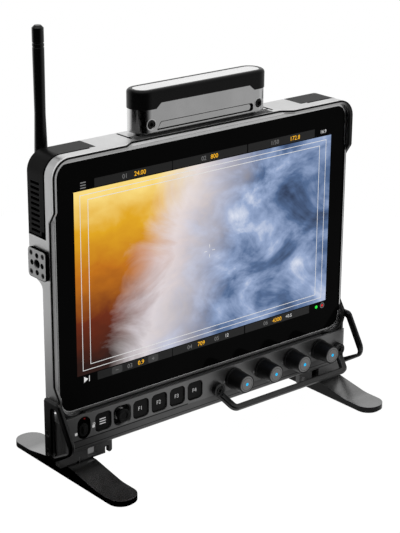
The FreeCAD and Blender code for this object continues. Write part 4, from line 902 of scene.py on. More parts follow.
@dataclass
class Fittings(Assembly):
    """Small pieces on the body: plates, rings, painted shade in slots, grooves, vents, windows and holes,
    painted light in a window, black edges and sockets.

    Attributes:
        well: inset and depth of the receiver cap's well.
        well_corner: radius of the plate in the well.
        well_lift: the plate's height over the well's floor.
        screw_ring: outer and inner radius of the bright rings round the receiver's screws.
        screw_ring_lift: their height.
        latch_slant: how far the latch bar's upper left corner is drawn in.
        latch_gap: width of the groove over, under and right of the bar; at its left it is as wide as over it.
        latch_fit: share of those widths that the groove's inner line stays from the bar.
        latch_shade: the groove's depth, and the height of the painted shade lining it.
        rails: the slots beside the receiver: width, length, distance from its middle, middle depth.
        rail_foot: length and depth of the painted shade along the short grooves from them towards the
            receiver.
        window: width, height and corner radius of the foot mounts' windows.
        window_place: their middle from the mount's inner end, and the depth of the plates of painted light
            and shade in them.
        window_lift: height of those plates.
        cap_edge: width and height of the painted shade line in front of the corner caps.
        cap_corner: radius of the frame's corners.
        cap_short: how much shorter than the cap the shade line is, in its own widths.
        cap_toe: size of the painted shade that fills the line's foot, and its place from there, in widths of
            the line.
        vents: number, pitch, height and length of the vent slots.
        vent_place: first slot's middle under the cap's top, and the slots' middle depth.
        vent_back: how far the frame lies behind the cap's face.
        vent_lift: how far the plates of painted shade stand out from it.
        jack: shares of a jack's end radius that its socket and its pin have.
        jack_end: how far from its tip points belong to a jack's end.
        plate_corner: radius of the accessory plate.
        rim: thickness of its black edge.
        rim_drop: how far the edge stays under the plate's face.
        pins: circle and radius of the painted shade over the pin holes.
        thread: radius, pitch and height of the thread.
    """

    well: Pair = (3.7 * MM, 0.5 * MM)
    well_corner: float = 6.0 * MM
    well_lift: float = 0.35 * MM
    screw_ring: Pair = (3.75 * MM, 3.2 * MM)
    screw_ring_lift: float = 0.1 * MM
    latch_slant: float = 3.0 * MM
    latch_gap: Triple = (0.4 * MM, 0.9 * MM, 2.4 * MM)
    latch_fit: float = 0.05
    latch_shade: Pair = (0.7 * MM, 0.5 * MM)
    rails: tuple[float, float, float, float] = (1.6 * MM, 16.0 * MM, 59.0 * MM, 10.85 * MM)
    rail_foot: Pair = (9.5 * MM, 6.9 * MM)
    window: Triple = (6.96 * MM, 5.96 * MM, 0.95 * MM)
    window_place: Pair = (16.0 * MM, 3.2 * MM)
    window_lift: float = 0.2 * MM
    cap_edge: Pair = (1.3 * MM, 0.05 * MM)
    cap_corner: float = 12.5 * MM
    cap_short: float = 4.0
    cap_toe: Pair = (2.5, 1.2)
    vents: tuple[int, float, float, float] = (10, 3.4 * MM, 1.86 * MM, 9.46 * MM)
    vent_place: Pair = (17.95 * MM, 12.2 * MM)
    vent_back: float = 2.1 * MM
    vent_lift: float = 1.7 * MM
    jack: Pair = (0.72, 0.2)
    jack_end: float = 0.1 * MM
    plate_corner: float = 2.2 * MM
    rim: float = 0.3 * MM
    rim_drop: float = 0.05 * MM
    pins: Pair = (5.5 * MM, 1.75 * MM)
    thread: Triple = (2.58 * MM, 0.5 * MM, 0.16 * MM)

    def receiver_plate(self) -> None:
        """Lays the pale plate in the receiver cap's well."""
        low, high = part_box("receiver_cap")
        inset, depth = self.well
        plane = Plane(((low.x + high.x) / 2, (low.y + high.y) / 2, high.z - depth), up=(0.0, 1.0, 0.0))
        loop = rounded_loop(high.x - low.x - 2 * inset, high.y - low.y - 2 * inset, self.well_corner, 16)
        plate = plane.plate(loop, lift=self.well_lift)
        self.shop.piece("receiver_top_plate", [plate], "bezel_metal", "receiver_metal")

    def receiver_front(self) -> None:
        """Rings the receiver's screws and paints shade in the groove round its latch bar, a four-cornered
        frame.
        """
        low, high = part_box("receiver_body")
        face = Plane((0.0, low.y, 0.0))
        screws = [points for points in node_solids("hex_screws") if points[:, 2].min() > low.z]
        places = [tuple(((points.min(0) + points.max(0)) / 2)[[0, 2]]) for points in screws]
        rings = [face.ring(self.screw_ring, place, self.screw_ring_lift, 40) for place in places]
        self.shop.piece("receiver_rings", rings, "bezel_metal", "receiver_metal")
        start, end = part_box("receiver_latch_bar")
        corner = (start.x + self.latch_slant, end.z)
        bar = np.array([(start.x, start.z), (end.x, start.z), (end.x, end.z), corner])
        above, under, right = self.latch_gap
        grow = np.array([(-above, -under), (right, -under), (right, above), (-above, above)])
        depth, lift = self.latch_shade
        groove = Plane((0.0, low.y + depth, 0.0))
        # Painted shade lining the groove round the latch bar
        shade = groove.band(bar + grow, bar + grow * self.latch_fit, lift=lift)
        self.shop.piece("latch_groove_shade", [shade], "black_and_shade_ink", "receiver_metal")

    def rail_slot_shade(self) -> None:
        """Paints shade over the two slots beside the receiver and the short grooves from them."""
        low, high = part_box("receiver_body")
        plane = Plane(((low.x + high.x) / 2, 0.0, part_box("chassis")[1].z), up=(0.0, 1.0, 0.0))
        width, length, away, middle = self.rails
        foot, depth = self.rail_foot
        slot = rounded_loop(width, length, width / 2 - INK_ROOT)
        groove = rounded_loop(foot, width, width / 2 - INK_ROOT)
        # Painted shade over the slots and along the grooves
        backs = [plane.plate(slot, (side * away, middle)) for side in (-1, 1)]
        backs += [plane.plate(groove, (side * (away - foot / 2), depth), INK_LIFT / 2) for side in (-1, 1)]
        self.shop.piece("rail_slot_shade", backs, "black_and_shade_ink", "chassis_metal")

    def mount_windows(self) -> None:
        """Fills the windows of the two foot mounts with plates: painted light in the left one and painted
        shade in the right one.
        """
        inward, depth = self.window_place
        # Painted light in the left window, painted shade in the right one
        for node, name, ink in (
            ("left_foot_mount", "mount_window_painted_light", "grey_ink_glow"),
            ("right_foot_mount", "far_window_painted_shade", "black_and_shade_ink"),
        ):
            low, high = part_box(node)
            across = math.copysign(max(low.x, -high.x) + inward, low.x)
            plane = Plane((across, low.y + depth, (low.z + high.z) / 2))
            back = plane.plate(rounded_loop(*self.window, 4), lift=self.window_lift)
            self.shop.piece(name, [back], ink, "guard_metal")

    def cap_shade_lines(self) -> None:
        """Paints a shade line on the caps' front edge: a flat section carried up the side, round the corner
        circle and along the top.
        """
        low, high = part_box("left_corner_cap")
        width, lift = self.cap_edge
        turn = np.linspace(math.pi, math.pi / 2, 16)
        out = np.column_stack([np.cos(turn), np.sin(turn)])
        arc = np.array([low.x + self.cap_corner, high.z - self.cap_corner]) + self.cap_corner * out
        line = np.vstack([[(low.x, low.z - width)], arc, [(high.x - self.cap_short * width, high.z)]])
        out = np.vstack([out[:1], out, out[-1:]])
        section = [(lift, low.y - width), (-INK_ROOT, low.y - width), (-INK_ROOT, low.y), (lift, low.y)]
        flats = [(line + reach * out, np.full(len(line), at)) for reach, at in section]
        loops = np.stack([np.column_stack([flat[:, 0], at, flat[:, 1]]) for flat, at in flats], axis=1)
        sides = [lofted(loops, False), lofted(loops[:, ::-1] * (-1.0, 1.0, 1.0), False)]
        side = Plane((low.x, 0.0, 0.0), (0.0, -1.0, 0.0))
        under = side.bar((high.y - low.y, width), (-(low.y + high.y) / 2, low.z - width / 2), lift)
        size, place = (share * width for share in self.cap_toe)
        toe = side.bar((size, size), (-low.y - place, low.z + place), lift)
        # Painted shade along the cap's front edge, under it and at its foot
        self.shop.piece("cap_shade_lines", [*sides, under, toe], "black_and_shade_ink", "black_plastic")

    def vent_shade(self) -> None:
        """Paints shade on the frame behind the left corner cap's slots."""
        low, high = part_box("left_corner_cap")
        count, pitch, height, length = self.vents
        top, depth = self.vent_place
        plane = Plane((low.x + self.vent_back, depth, high.z - top), (0.0, -1.0, 0.0))
        # Plates of painted shade behind the slots
        backs = [plane.bar((length, height), (0.0, -i * pitch), self.vent_lift) for i in range(count)]
        self.shop.piece("vent_shade", backs, "black_and_shade_ink", "black_plastic")

    def jacks(self) -> None:
        """Gives each jack on the back a dark socket with a bright pin: two discs on its axis."""
        sockets, pins = [], []
        for points in node_solids("rear_jacks"):
            low, high = points.min(0), points.max(0)
            plane = Plane(((low[0] + high[0]) / 2, high[1], (low[2] + high[2]) / 2), (-1.0, 0.0, 0.0))
            end = points[points[:, 1] > high[1] - self.jack_end]
            socket, pin = (share * np.ptp(end[:, 0]) / 2 for share in self.jack)
            sockets.append(plane.disc(socket))
            pins.append(plane.disc(pin, lift=2 * INK_LIFT))
        self.shop.piece("jack_sockets", sockets, "black_and_shade_ink", "jack_metal")
        self.shop.piece("jack_pins", pins, "jack_metal", "jack_metal")

    def accessory(self) -> None:
        """Gives the accessory plate its black edge, painted shade in its pin holes and a ringed thread."""
        low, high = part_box("accessory_plate")
        size, thick = high.z - low.z, high.x - low.x
        plane = Plane((high.x, (low.y + high.y) / 2, (low.z + high.z) / 2), (0.0, -1.0, 0.0))
        outer = rounded_loop(size + 2 * self.rim, size + 2 * self.rim, self.plate_corner + self.rim)
        inner = rounded_loop(size, size, self.plate_corner)
        edge = plane.band(outer, inner, lift=thick - self.rim_drop)
        circle, bore = self.pins
        places = [(math.cos(turn) * circle, math.sin(turn) * circle) for turn in np.arange(4) * math.pi / 2]
        holes = [plane.disc(bore, place, thick + INK_LIFT, 24) for place in places]
        # Black edge, and painted shade over the pin holes
        self.shop.piece("plate_edge_and_hole_shade", [edge, *holes], "black_and_shade_ink", "plate_metal")
        radius, pitch, tooth = self.thread
        rows = np.arange(0.0, thick - pitch, pitch / 2)
        wide = radius - tooth * (1 + np.arange(len(rows)) % 2)
        rings = [(radius, rows[0]), (radius, rows[-1])] + list(zip(wide[::-1], rows[::-1]))
        loops = [lifted(round_loop(reach, 40), height) for reach, height in rings]
        thread = lofted(plane.at(np.stack(loops)), False)
        self.shop.piece("plate_thread", [thread], "black_screw", "black_screw")

    def build(self) -> None:
        """Makes all the fittings."""
        self.receiver_plate()
        self.receiver_front()
        self.rail_slot_shade()
        self.mount_windows()
        self.cap_shade_lines()
        self.vent_shade()
        self.jacks()
        self.accessory()


@dataclass
class Screen(Assembly):
    """What the lit screen shows: a soft picture, frame lines, bars of figures and small signs.

    Attributes:
        picture: width and height of the picture.
        picture_corner: how far its corners are cut.
        frames: width and height of the two frame lines.
        line: width of the frame lines.
        cross: length and width of the cross's strokes, and their distance from its middle.
        row: height of the bars' middle over and under the picture's middle.
        bars: middle and width of the bars of a row.
        bar_height: of the bars.
        bar_corner: how far their corners are cut.
        figure: height of the figures.
        small: share of it that the white figures have.
        marks: each figure's light, words, place across and row, 1 over the picture and -1 under it.
        buttons: places of the minus and the plus button across.
        button: width, height and corner radius of a button.
        stroke: length and width of the strokes on it.
        menu: place across, pitch and corner cut of the menu sign's three bars.
        menu_bar: length and width of such a bar.
        arrow: places across of the play sign's arrow and of its bar.
        arrow_loop: outline of the arrow.
        arrow_bar: width and height of the bar.
        lamps: places across of the green and of the red lamp.
        lamp: radius of the green and of the red lamp.
        lamp_ring: outer and inner radius of the ring round the red one.
    """

    picture: Pair = (217.0 * MM, 122.0 * MM)
    picture_corner: float = 0.05 * MM
    frames: tuple[Pair, ...] = ((208.2 * MM, 116.6 * MM), (196.2 * MM, 109.8 * MM))
    line: float = 0.42 * MM
    cross: Triple = (2.4 * MM, 0.45 * MM, 3.4 * MM)
    row: float = 64.4 * MM
    bars: tuple[Pair, ...] = ((-62.2 * MM, 61.0 * MM), (0.2 * MM, 62.6 * MM), (62.6 * MM, 60.2 * MM))
    bar_height: float = 5.6 * MM
    bar_corner: float = 0.2 * MM
    figure: float = 2.9 * MM
    small: float = 0.8
    marks: tuple[tuple[str, str, float, int], ...] = (
        ("grey_light", "01", -69.3 * MM, 1),
        ("grey_light", "02", -5.5 * MM, 1),
        ("grey_light", "1/50", 56.2 * MM, 1),
        ("grey_light", "03", -66.7 * MM, -1),
        ("grey_light", "04", -16.6 * MM, -1),
        ("grey_light", "05", 7.0 * MM, -1),
        ("grey_light", "06", 51.4 * MM, -1),
        ("amber_light", "24.00", -57.4 * MM, 1),
        ("amber_light", "800", 3.4 * MM, 1),
        ("amber_light", "172.8", 74.5 * MM, 1),
        ("amber_light", "0.9", -57.7 * MM, -1),
        ("amber_light", "709", -6.6 * MM, -1),
        ("amber_light", "4300", 62.0 * MM, -1),
        ("white_light", "16:9", 100.9 * MM, 1),
        ("white_light", "12", 16.0 * MM, -1),
        ("white_light", "+0.5", 73.0 * MM, -1),
    )
    buttons: Pair = (-77.1 * MM, -47.6 * MM)
    button: Triple = (8.4 * MM, 5.0 * MM, 1.3 * MM)
    stroke: Pair = (2.2 * MM, 0.4 * MM)
    menu: Triple = (-101.3 * MM, 1.7 * MM, 0.2 * MM)
    menu_bar: Pair = (4.2 * MM, 0.7 * MM)
    arrow: Pair = (-101.6 * MM, -99.2 * MM)
    arrow_loop: tuple[Pair, ...] = ((-1.7 * MM, -2.0 * MM), (1.5 * MM, 0.0), (-1.7 * MM, 2.0 * MM))
    arrow_bar: Pair = (0.5 * MM, 4.0 * MM)
    lamps: Pair = (99.7 * MM, 105.4 * MM)
    lamp: Pair = (1.15 * MM, 0.9 * MM)
    lamp_ring: Pair = (2.0 * MM, 1.5 * MM)

    @staticmethod
    def plane() -> Plane:
        """The glass face, with its zero at the picture's middle."""
        low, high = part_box("lcd_module")
        return Plane((0.0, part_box("cover_glass")[0].y, (low.z + high.z) / 2))

    def sheet(self, plane: Plane) -> None:
        """Lays the picture: a thin plate whose UV map has u across and v up.

        Args:
            plane: the glass face.
        """
        shell = plane.bar(self.picture, lift=INK_LIFT / 2, corner=self.picture_corner)
        self.shop.materials["screen_picture"] = self.glow()
        mesh = self.shop.piece("screen_picture", [shell], "screen_picture", "screen_panel").data
        corners = np.empty(len(mesh.loops), int)
        mesh.loops.foreach_get("vertex_index", corners)
        local = (shell.points - np.asarray(plane.origin))[:, [0, 2]] / self.picture + 0.5
        mesh.uv_layers.new(name="picture").data.foreach_set("uv", local[corners].ravel())

    @staticmethod
    def glow() -> bpy.types.Material:
        """The picture's light: a warm glow that meets cool drifting cloud along a slanted, uneven edge.

        Returns:
            A node material on the picture's UV map.
        """
        material, graph = node_material("screen_picture")
        place = graph.add("TexCoord").outputs["UV"]
        across, up = graph.along(place, "X"), graph.along(place, "Y")
        drift = graph.add("Mapping", Rotation=(0.0, 0.0, 0.5), Scale=(4.2, 3.2, 1.0))
        cloud = graph.add("TexNoise", Scale=1.0, Detail=6.0, Roughness=0.6, Distortion=0.7)
        streak = graph.add("TexNoise", Scale=2.6, Detail=4.0, Roughness=0.5, Distortion=0.2)
        graph.join(place, drift.inputs["Vector"])
        for noise in (cloud, streak):
            graph.join(drift.outputs["Vector"], noise.inputs["Vector"])
        broad, fine = cloud.outputs["Fac"], streak.outputs["Fac"]
        body = graph.value("ADD", graph.value("MULTIPLY", broad, 0.7), graph.value("MULTIPLY", fine, 0.3))
        cool = graph.ramp(
            body,
            (0.33, (0.02, 0.035, 0.08)),
            (0.45, (0.08, 0.14, 0.28)),
            (0.57, (0.30, 0.39, 0.60)),
            (0.70, (0.82, 0.85, 0.94)),
        )
        warm = graph.ramp(
            graph.swing(up, fine, 0.25),
            (0.05, (0.02, 0.006, 0.004)),
            (0.30, (0.14, 0.02, 0.004)),
            (0.55, (0.52, 0.16, 0.006)),
            (0.78, (0.74, 0.38, 0.012)),
            (0.98, (0.96, 0.72, 0.22)),
        )
        rough = graph.swing(graph.swing(across, up, -0.22), broad, 0.3)
        drifting = graph.mix(graph.spread(rough, 0.22, 0.44, 0.0, 1.0), warm, cool)
        haze = graph.ramp(rough, (0.18, grey(0.0)), (0.34, grey(0.75)), (0.62, grey(0.0)))
        picture = graph.mix(haze, drifting, (0.88, 0.80, 0.80))
        shader = graph.principled(
            Base_Color=(*grey(0.0), 1.0), Roughness=0.06, Specular_IOR_Level=0.2, Emission_Strength=1.0
        )
        graph.join(picture, shader.inputs["Emission Color"])
        return material

    def lines(self, plane: Plane) -> list[Shell]:
        """Two nested frame lines and a cross of four short strokes.

        Args:
            plane: the glass face.

        Returns:
            Their shells.
        """
        made = []
        for width, height in self.frames:
            outer = rounded_loop(width, height, SQUARE, 2)
            inner = rounded_loop(width - 2 * self.line, height - 2 * self.line, SQUARE, 2)
            made.append(plane.band(outer, inner))
        length, thick, away = self.cross
        for across, up in ((1, 0), (-1, 0), (0, 1), (0, -1)):
            size = (length, thick) if across else (thick, length)
            made.append(plane.bar(size, (across * away, up * away)))
        return made

    def bar_backs(self, plane: Plane) -> list[Shell]:
        """The six dark bars behind the figures, three over the picture and three under it.

        Args:
            plane: the glass face.

        Returns:
            Their shells.
        """
        return [
            plane.bar((width, self.bar_height), (middle, row), INK_LIFT / 2, self.bar_corner)
            for row in (self.row, -self.row)
            for middle, width in self.bars
        ]

    def signs(self, plane: Plane) -> dict[str, list[Shell]]:
        """Figures, buttons and small signs, by the light that they have.

        Args:
            plane: the glass face.

        Returns:
            The shells of each light.
        """
        made: dict[str, list[Shell]] = {}
        for light, words, across, side in self.marks:
            height = self.figure * (self.small if light == "white_light" else 1.0)
            made.setdefault(light, []).append(plane.figures(words, height, (across, side * self.row)))
        low = -self.row
        button = rounded_loop(*self.button)
        made["button_light"] = [plane.plate(button, (place, low), INK_LIFT * 0.8) for place in self.buttons]
        greys, whites = made["grey_light"], made["white_light"]
        greys += [plane.bar(self.stroke, (place, low)) for place in self.buttons]
        greys.append(plane.bar(self.stroke[::-1], (self.buttons[1], low)))
        across, pitch, corner = self.menu
        heights = [self.row + i * pitch for i in (-1, 0, 1)]
        greys += [plane.bar(self.menu_bar, (across, height), corner=corner) for height in heights]
        whites.append(plane.plate(np.array(self.arrow_loop), (self.arrow[0], low)))
        whites.append(plane.bar(self.arrow_bar, (self.arrow[1], low)))
        greys.append(plane.ring(self.lamp_ring, (self.lamps[1], low)))
        for light, radius, place in zip(("green_light", "red_light"), self.lamp, self.lamps):
            made[light] = [plane.disc(radius, (place, low))]
        return made

    def build(self) -> None:
        """Makes the picture and everything that is shown on it."""
        plane = self.plane()
        self.sheet(plane)
        self.shop.piece("screen_lines", self.lines(plane), "line_light", "screen_panel")
        self.shop.piece("screen_bars", self.bar_backs(plane), "bar_light", "screen_panel")
        for light, shells in self.signs(plane).items():
            self.shop.piece(f"screen_{light}", shells, light, "screen_panel")


@dataclass
class Controls(Assembly):
    """Marks on the control panel: key figures, knob letters and lights, the lock's signs, and painted shade
    on its foot.

    Attributes:
        key_figure: height of the figures on the keys.
        menu_bar: length, width and corner radius of the menu key's bars.
        menu_pitch: from bar to bar.
        letter: height of the knobs' letters.
        letter_place: where a letter stands from its knob's axis.
        dot: radius of a knob's light.
        groove: outer and inner radius of the ring round a knob's end.
        lock_row: height of the controls' row over the panel's foot.
        lock_well: width, height and depth of the lock's well.
        lock_slot: width and height of the slot in its floor.
        lock_rim: width of the black rim round it.
        lock_liner: thickness of the lining on the well's wall and on its floor.
        lock_gap: between the lining and the well.
        lock_dot: radius of the red dot.
        lock_dot_place: from the well's middle.
        shackle: outer and inner radius of the open lock's shackle.
        shackle_place: from the well's middle.
        lock_sign: width, height and corner radius of the two locks.
        lock_sign_places: from the well's middle.
        foot: where the painted shade on the panel's foot begins and ends, and how far it stays from the
            panel's ends.
        foot_lines: heights over the panel's lower edge and widths of the long line and of the keys' line.
    """

    key_figure: float = 2.7 * MM
    menu_bar: Triple = (5.0 * MM, 0.7 * MM, 0.3 * MM)
    menu_pitch: float = 1.7 * MM
    letter: float = 1.5 * MM
    letter_place: Pair = (-7.9 * MM, -1.2 * MM)
    dot: float = 1.1 * MM
    groove: Pair = (4.5 * MM, 4.28 * MM)
    lock_row: float = 16.0 * MM
    lock_well: Triple = (9.0 * MM, 14.0 * MM, 1.6 * MM)
    lock_slot: Pair = (3.5 * MM, 7.0 * MM)
    lock_rim: float = 0.7 * MM
    lock_liner: Pair = (0.3 * MM, 0.04 * MM)
    lock_gap: float = 0.02 * MM
    lock_dot: float = 0.75 * MM
    lock_dot_place: Pair = (1.6 * MM, 5.6 * MM)
    shackle: Pair = (0.95 * MM, 0.5 * MM)
    shackle_place: Pair = (7.9 * MM, 0.4 * MM)
    lock_sign: Triple = (2.0 * MM, 1.8 * MM, 0.2 * MM)
    lock_sign_places: tuple[Pair, ...] = ((-6.2 * MM, -3.0 * MM), (7.5 * MM, -1.2 * MM))
    foot: Triple = (1.4 * MM, 7.6 * MM, 6.0 * MM)
    foot_lines: tuple[Pair, ...] = ((3.4 * MM, 0.5 * MM), (7.9 * MM, 0.8 * MM))

    def keys(self) -> None:
        """Writes the function keys' figures and the menu key's three bars."""
        for number in range(1, 5):
            words = Plane.front(f"key_f{number}").figures(f"F{number}", self.key_figure)
            self.shop.piece(f"key_figure_{number}", [words], "white_ink_glow", "key_plastic", f"f{number}_key")
        plane = Plane.front("key_menu")
        bar = rounded_loop(*self.menu_bar, 3)
        bars = [plane.plate(bar, (0.0, i * self.menu_pitch)) for i in (-1, 0, 1)]
        self.shop.piece("menu_bars", bars, "white_ink_glow", "key_plastic", "menu_key")

    def knobs(self) -> None:
        """Gives each knob its light and ring, and its letter on the panel."""
        panel_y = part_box("control_housing")[0].y
        letters = []
        for letter in "abcd":
            knob = f"knob_{letter}"
            plane = Plane.front(f"{knob}_cap")
            light = plane.disc(self.dot, steps=24)
            self.shop.piece(f"{knob}_light", [light], "cyan_light", "knob_cap_metal", knob)
            ring = plane.ring(self.groove, steps=64)
            self.shop.piece(f"{knob}_ring", [ring], "groove_ink", "knob_cap_metal", knob)
            panel = Plane((plane.origin[0], panel_y, plane.origin[2]))
            letters.append(panel.figures(letter.upper(), self.letter, self.letter_place))
        self.shop.piece("knob_letters", letters, "grey_ink_glow", "panel_metal")

    def around(self, out: float, at: float) -> np.ndarray:
        """The outline of the lock's well grown by a width, at a height."""
        width, height, _ = self.lock_well
        loop = rounded_loop(width + 2 * out, height + 2 * out, width / 2 + out - self.lock_gap, 12)
        return lifted(loop, at)

    def lock(self) -> None:
        """Lines the lock's well in black: one section carried from its rim down the wall to the slot."""
        housing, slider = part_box("control_housing"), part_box("lock_slider")
        across, face, up = (slider[0].x + slider[1].x) / 2, housing[0].y, housing[0].z + self.lock_row
        plane = Plane((across, face, up))
        wall, thick = self.lock_liner
        bottom, rim, gap = -self.lock_well[2], self.lock_rim, self.lock_gap
        floor = bottom + thick
        width, height = self.lock_slot
        slot = rounded_loop(width, height, width / 2 - gap, 12)
        loops = [self.around(rim, INK_LIFT), self.around(-wall, INK_LIFT), self.around(-wall, floor)]
        loops += [lifted(slot, floor), lifted(slot, bottom)]
        loops += [self.around(-gap, bottom), self.around(-gap, -INK_ROOT), self.around(rim, -INK_ROOT)]
        liner = lofted(plane.at(np.stack(loops)), True)
        self.shop.piece("lock_liner", [liner], "black_and_shade_ink", "panel_metal")
        dot = Plane((across, face - floor, up)).disc(self.lock_dot, self.lock_dot_place, steps=20)
        self.shop.piece("lock_dot", [dot], "red_ink_glow", "panel_metal")
        sign = rounded_loop(*self.lock_sign, 3)
        signs = [plane.ring(self.shackle, self.shackle_place, steps=20)]
        signs += [plane.plate(sign, place) for place in self.lock_sign_places]
        self.shop.piece("lock_signs", signs, "white_ink_glow", "panel_metal")

    def panel_foot(self) -> None:
        """Paints shade on the panel's foot with a darker copy of its metal and draws its two lines, the upper
        one under the keys only.
        """
        low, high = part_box("control_housing")
        under, over, inset = self.foot
        start, end, keys_end = low.x + inset, high.x - inset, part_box("key_f4")[0].x
        plane = Plane((0.0, low.y, low.z))
        # Painted shade on the panel's foot
        foot = plane.bar((end - start, over - under), ((start + end) / 2, (over + under) / 2), INK_LIFT / 2)
        self.shop.piece("panel_foot", [foot], "panel_metal_shaded", "panel_metal")
        lines = [
            plane.bar((stop - start, width), ((start + stop) / 2, up))
            for stop, (up, width) in zip((end, keys_end), self.foot_lines)
        ]
        self.shop.piece("panel_lines", lines, "groove_ink", "panel_metal")

    def build(self) -> None:
        """Makes all marks of the panel."""
        self.keys()
        self.knobs()
        self.lock()
        self.panel_foot()


@dataclass(frozen=True)
class Lamp:
    """A soft square lamp that gloss doesn't show.

    Attributes:
        name: the lamp's name.
        power: in watts.
        size: width and height.
        place: where it hangs.
        aim: the point it faces.
    """

    name: str
    power: float
    size: Pair
    place: Triple
    aim: Triple = (0.0, 0.0, 0.13)

    def build(self) -> None:
        """Hangs the lamp."""
        data = bpy.data.lights.new(self.name, "AREA")
        data.shape = "RECTANGLE"
        data.size, data.size_y = self.size
        data.energy = self.power
        lamp = bpy.data.objects.new(self.name, data)
        lamp.location = self.place
        lamp.visible_glossy = False
        lamp.rotation_euler = (Vector(self.aim) - Vector(self.place)).to_track_quat("-Z", "Y").to_euler()
        bpy.context.scene.collection.objects.link(lamp)


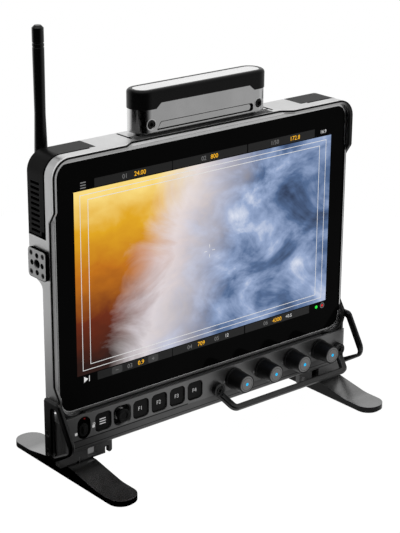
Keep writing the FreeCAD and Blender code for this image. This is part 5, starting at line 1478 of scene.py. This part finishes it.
@dataclass
class Studio:
    """Camera, lamps, pale floor and white background.

    Attributes:
        azimuth: the camera's turn round the object, in degrees.
        elevation: its height over the horizon, in degrees.
        roll: its tilt, in degrees.
        distance: from the screen's middle.
        offset: how far it stands to its own right and up.
        focal: focal length over the picture's long side.
        sensor: width of its film, in millimetres.
        reach: nearest and furthest point that it sees.
        ambient: strength of the plain light from all round.
        floor_radius: of the floor.
        floor_grey: its grey level.
        floor_white: strength of its white to the camera, and the share of it that shows.
        left_light: direction of the light that gloss sees at the left and behind.
        left_range: share of that direction at which it begins, and at which it is full.
        left_top: heights between which it ends.
        top: heights between which the light above begins and is full.
        right_light: direction of the weaker light at the right.
        right_range: share of that direction at which it begins, and at which it is full.
        right_level: its strength.
        near: where the floor's gloss begins to grow light, and where it is full.
        middle: how far left of the object the floor's directions start.
        lamps: what hangs round the object.
    """

    azimuth: float = -39.777
    elevation: float = 19.923
    roll: float = 0.384
    distance: float = 1058.98 * MM
    offset: Pair = (-6.339 * MM, -10.450 * MM)
    focal: float = 1603.3 / 533
    sensor: float = 36.0
    reach: Pair = (0.05, 20.0)
    ambient: float = 0.22
    floor_radius: float = 0.5
    floor_grey: float = 0.5
    floor_white: Pair = (1.1, 0.9)
    left_light: Triple = (0.2, 0.98, 0.0)
    left_range: Pair = (0.3, 0.89)
    left_top: Pair = (0.42, 0.62)
    top: Pair = (0.6, 0.95)
    right_light: Triple = (0.94, 0.34, 0.0)
    right_range: Pair = (-0.45, 0.75)
    right_level: float = 0.62
    near: Pair = (0.05, 0.4)
    middle: float = 0.08
    lamps: tuple[Lamp, ...] = (
        Lamp("over_lamp", 9.0, (1.0, 0.8), (-0.15, 0.25, 1.15)),
        Lamp("left_lamp", 3.5, (0.5, 0.9), (-1.1, 0.35, 0.75)),
        Lamp("front_lamp", 2.0, (0.8, 0.5), (-0.35, -1.2, 0.9)),
    )

    def camera(self) -> None:
        """Sets the camera at the photograph's angle."""
        turn, rise, roll = (math.radians(angle) for angle in (self.azimuth, self.elevation, self.roll))
        back = Vector((math.sin(turn) * math.cos(rise), -math.cos(turn) * math.cos(rise), math.sin(rise)))
        level = Vector((math.cos(turn), math.sin(turn), 0.0))
        right = level * math.cos(roll) + back.cross(level) * math.sin(roll)
        up = back.cross(right)
        middle = Vector(Screen.plane().origin)
        place = middle + back * self.distance + right * self.offset[0] + up * self.offset[1]
        data = bpy.data.cameras.new("camera")
        data.sensor_width = self.sensor
        data.lens = self.focal * self.sensor
        data.clip_start, data.clip_end = self.reach
        camera = bpy.data.objects.new("camera", data)
        axes = Matrix((right, up, back)).transposed().to_4x4()
        camera.matrix_world = Matrix.Translation(place) @ axes
        bpy.context.scene.collection.objects.link(camera)
        bpy.context.scene.camera = camera

    @staticmethod
    def seen(graph: Graph, *rays: Ray) -> Socket:
        """A mask of the rays that see the bright background.

        Args:
            graph: the tree it goes into.
            rays: kinds of ray.

        Returns:
            1 for those rays.
        """
        path = graph.add("LightPath")
        mask = path.outputs[rays[0].value]
        for ray in rays[1:]:
            mask = graph.value("MAXIMUM", mask, path.outputs[ray.value])
        return mask

    def shown(self, graph: Graph, looks: list[bpy.types.Node], share: float, output: str) -> None:
        """Joins three looks of the background to the output, each for its own rays.

        Args:
            graph: the tree they are in.
            looks: the shaders for plain rays, for gloss and for the camera.
            share: of its own look that the camera sees.
            output: the output node's type.
        """
        camera = self.seen(graph, Ray.CAMERA)
        if share < 1.0:
            camera = graph.value("MULTIPLY", camera, share)
        result = looks[0]
        for mask, look in zip((self.seen(graph, Ray.GLOSSY, Ray.TRANSMISSION), camera), looks[1:]):
            mixed = graph.add("MixShader")
            for start, end in zip((mask, result.outputs[0], look.outputs[0]), mixed.inputs):
                graph.join(start, end)
            result = mixed
        graph.join(result.outputs[0], graph.add(output).inputs["Surface"])

    def lights(self, graph: Graph, place: Socket) -> list[Socket]:
        """How light the studio is to gloss in a direction, which is dark towards the front left.

        Args:
            graph: the tree it goes into.
            place: the direction.

        Returns:
            The levels of the left and of the right light.
        """
        levels = []
        for light, (low, high), level in (
            (self.left_light, self.left_range, 1.0),
            (self.right_light, self.right_range, self.right_level),
        ):
            facing = graph.vector("DOT_PRODUCT", place, light)
            levels.append(graph.spread(facing.outputs["Value"], low, high, 0.0, level))
        return levels

    def world(self) -> None:
        """White to the camera, dim to plain rays, and to gloss the left, the right and the upper light."""
        world = bpy.data.worlds.new("studio")
        bpy.context.scene.world = world
        world.cycles.sampling_method = "NONE"
        world.use_nodes = True
        graph = Graph(world.node_tree)
        place = graph.add("TexCoord").outputs["Generated"]
        height = graph.along(place, "Z")
        left, right = self.lights(graph, place)
        left = graph.value("MULTIPLY", left, graph.spread(height, *self.left_top, 1.0, 0.0))
        above = graph.spread(height, *self.top, 0.0, 1.0)
        plain = graph.add("Background", Color=WHITE, Strength=self.ambient)
        shine = graph.add("Background", Color=WHITE)
        glossy = graph.value("MAXIMUM", graph.value("MAXIMUM", left, right), above)
        graph.join(glossy, shine.inputs["Strength"])
        white = graph.add("Background", Color=WHITE, Strength=1.0)
        self.shown(graph, [plain, shine, white], 1.0, "OutputWorld")

    def floor(self) -> None:
        """Lays a floor, r (cos t, sin t): white to the camera but for its shadow, dim near by to gloss."""
        loop = lifted(round_loop(self.floor_radius, 96), 0.0)
        mesh = bpy.data.meshes.new("floor")
        mesh.from_pydata(loop.tolist(), [], [list(range(len(loop)))])
        material, graph = node_material("pale_floor")
        material.cycles.emission_sampling = "NONE"
        place = graph.add("TexCoord").outputs["Object"]
        reach = graph.vector("LENGTH", place)
        moved = graph.vector("ADD", place, (self.middle, 0.0, 0.0))
        away = graph.vector("NORMALIZE", moved.outputs[0])
        far = graph.spread(reach.outputs["Value"], *self.near, 0.0, 1.0)
        left, right = self.lights(graph, away.outputs[0])
        plain = graph.add("BsdfDiffuse", Color=(*grey(self.floor_grey), 1.0))
        shine = graph.add("Emission", Color=WHITE)
        glossy = graph.value("MAXIMUM", graph.value("MULTIPLY", far, left), right)
        graph.join(glossy, shine.inputs["Strength"])
        strength, share = self.floor_white
        white = graph.add("Emission", Color=WHITE, Strength=strength)
        self.shown(graph, [plain, shine, white], share, "OutputMaterial")
        mesh.materials.append(material)
        made = bpy.data.objects.new("floor", mesh)
        bpy.context.scene.collection.objects.link(made)

    def build(self) -> None:
        """Sets up everything round the object."""
        self.camera()
        self.world()
        self.floor()
        for lamp in self.lamps:
            lamp.build()
        bpy.context.scene.view_settings.view_transform = "Standard"


def main() -> None:
    """Builds the studio, dresses the frame and adds the new pieces."""
    logging.basicConfig(level=logging.INFO, format="%(message)s")
    Studio().build()
    shop = Workshop()
    shop.dress()
    for assembly in (EdgeTrim, Screws, Fittings, Screen, Controls):
        assembly(shop).build()


if __name__ == "__main__":
    main()
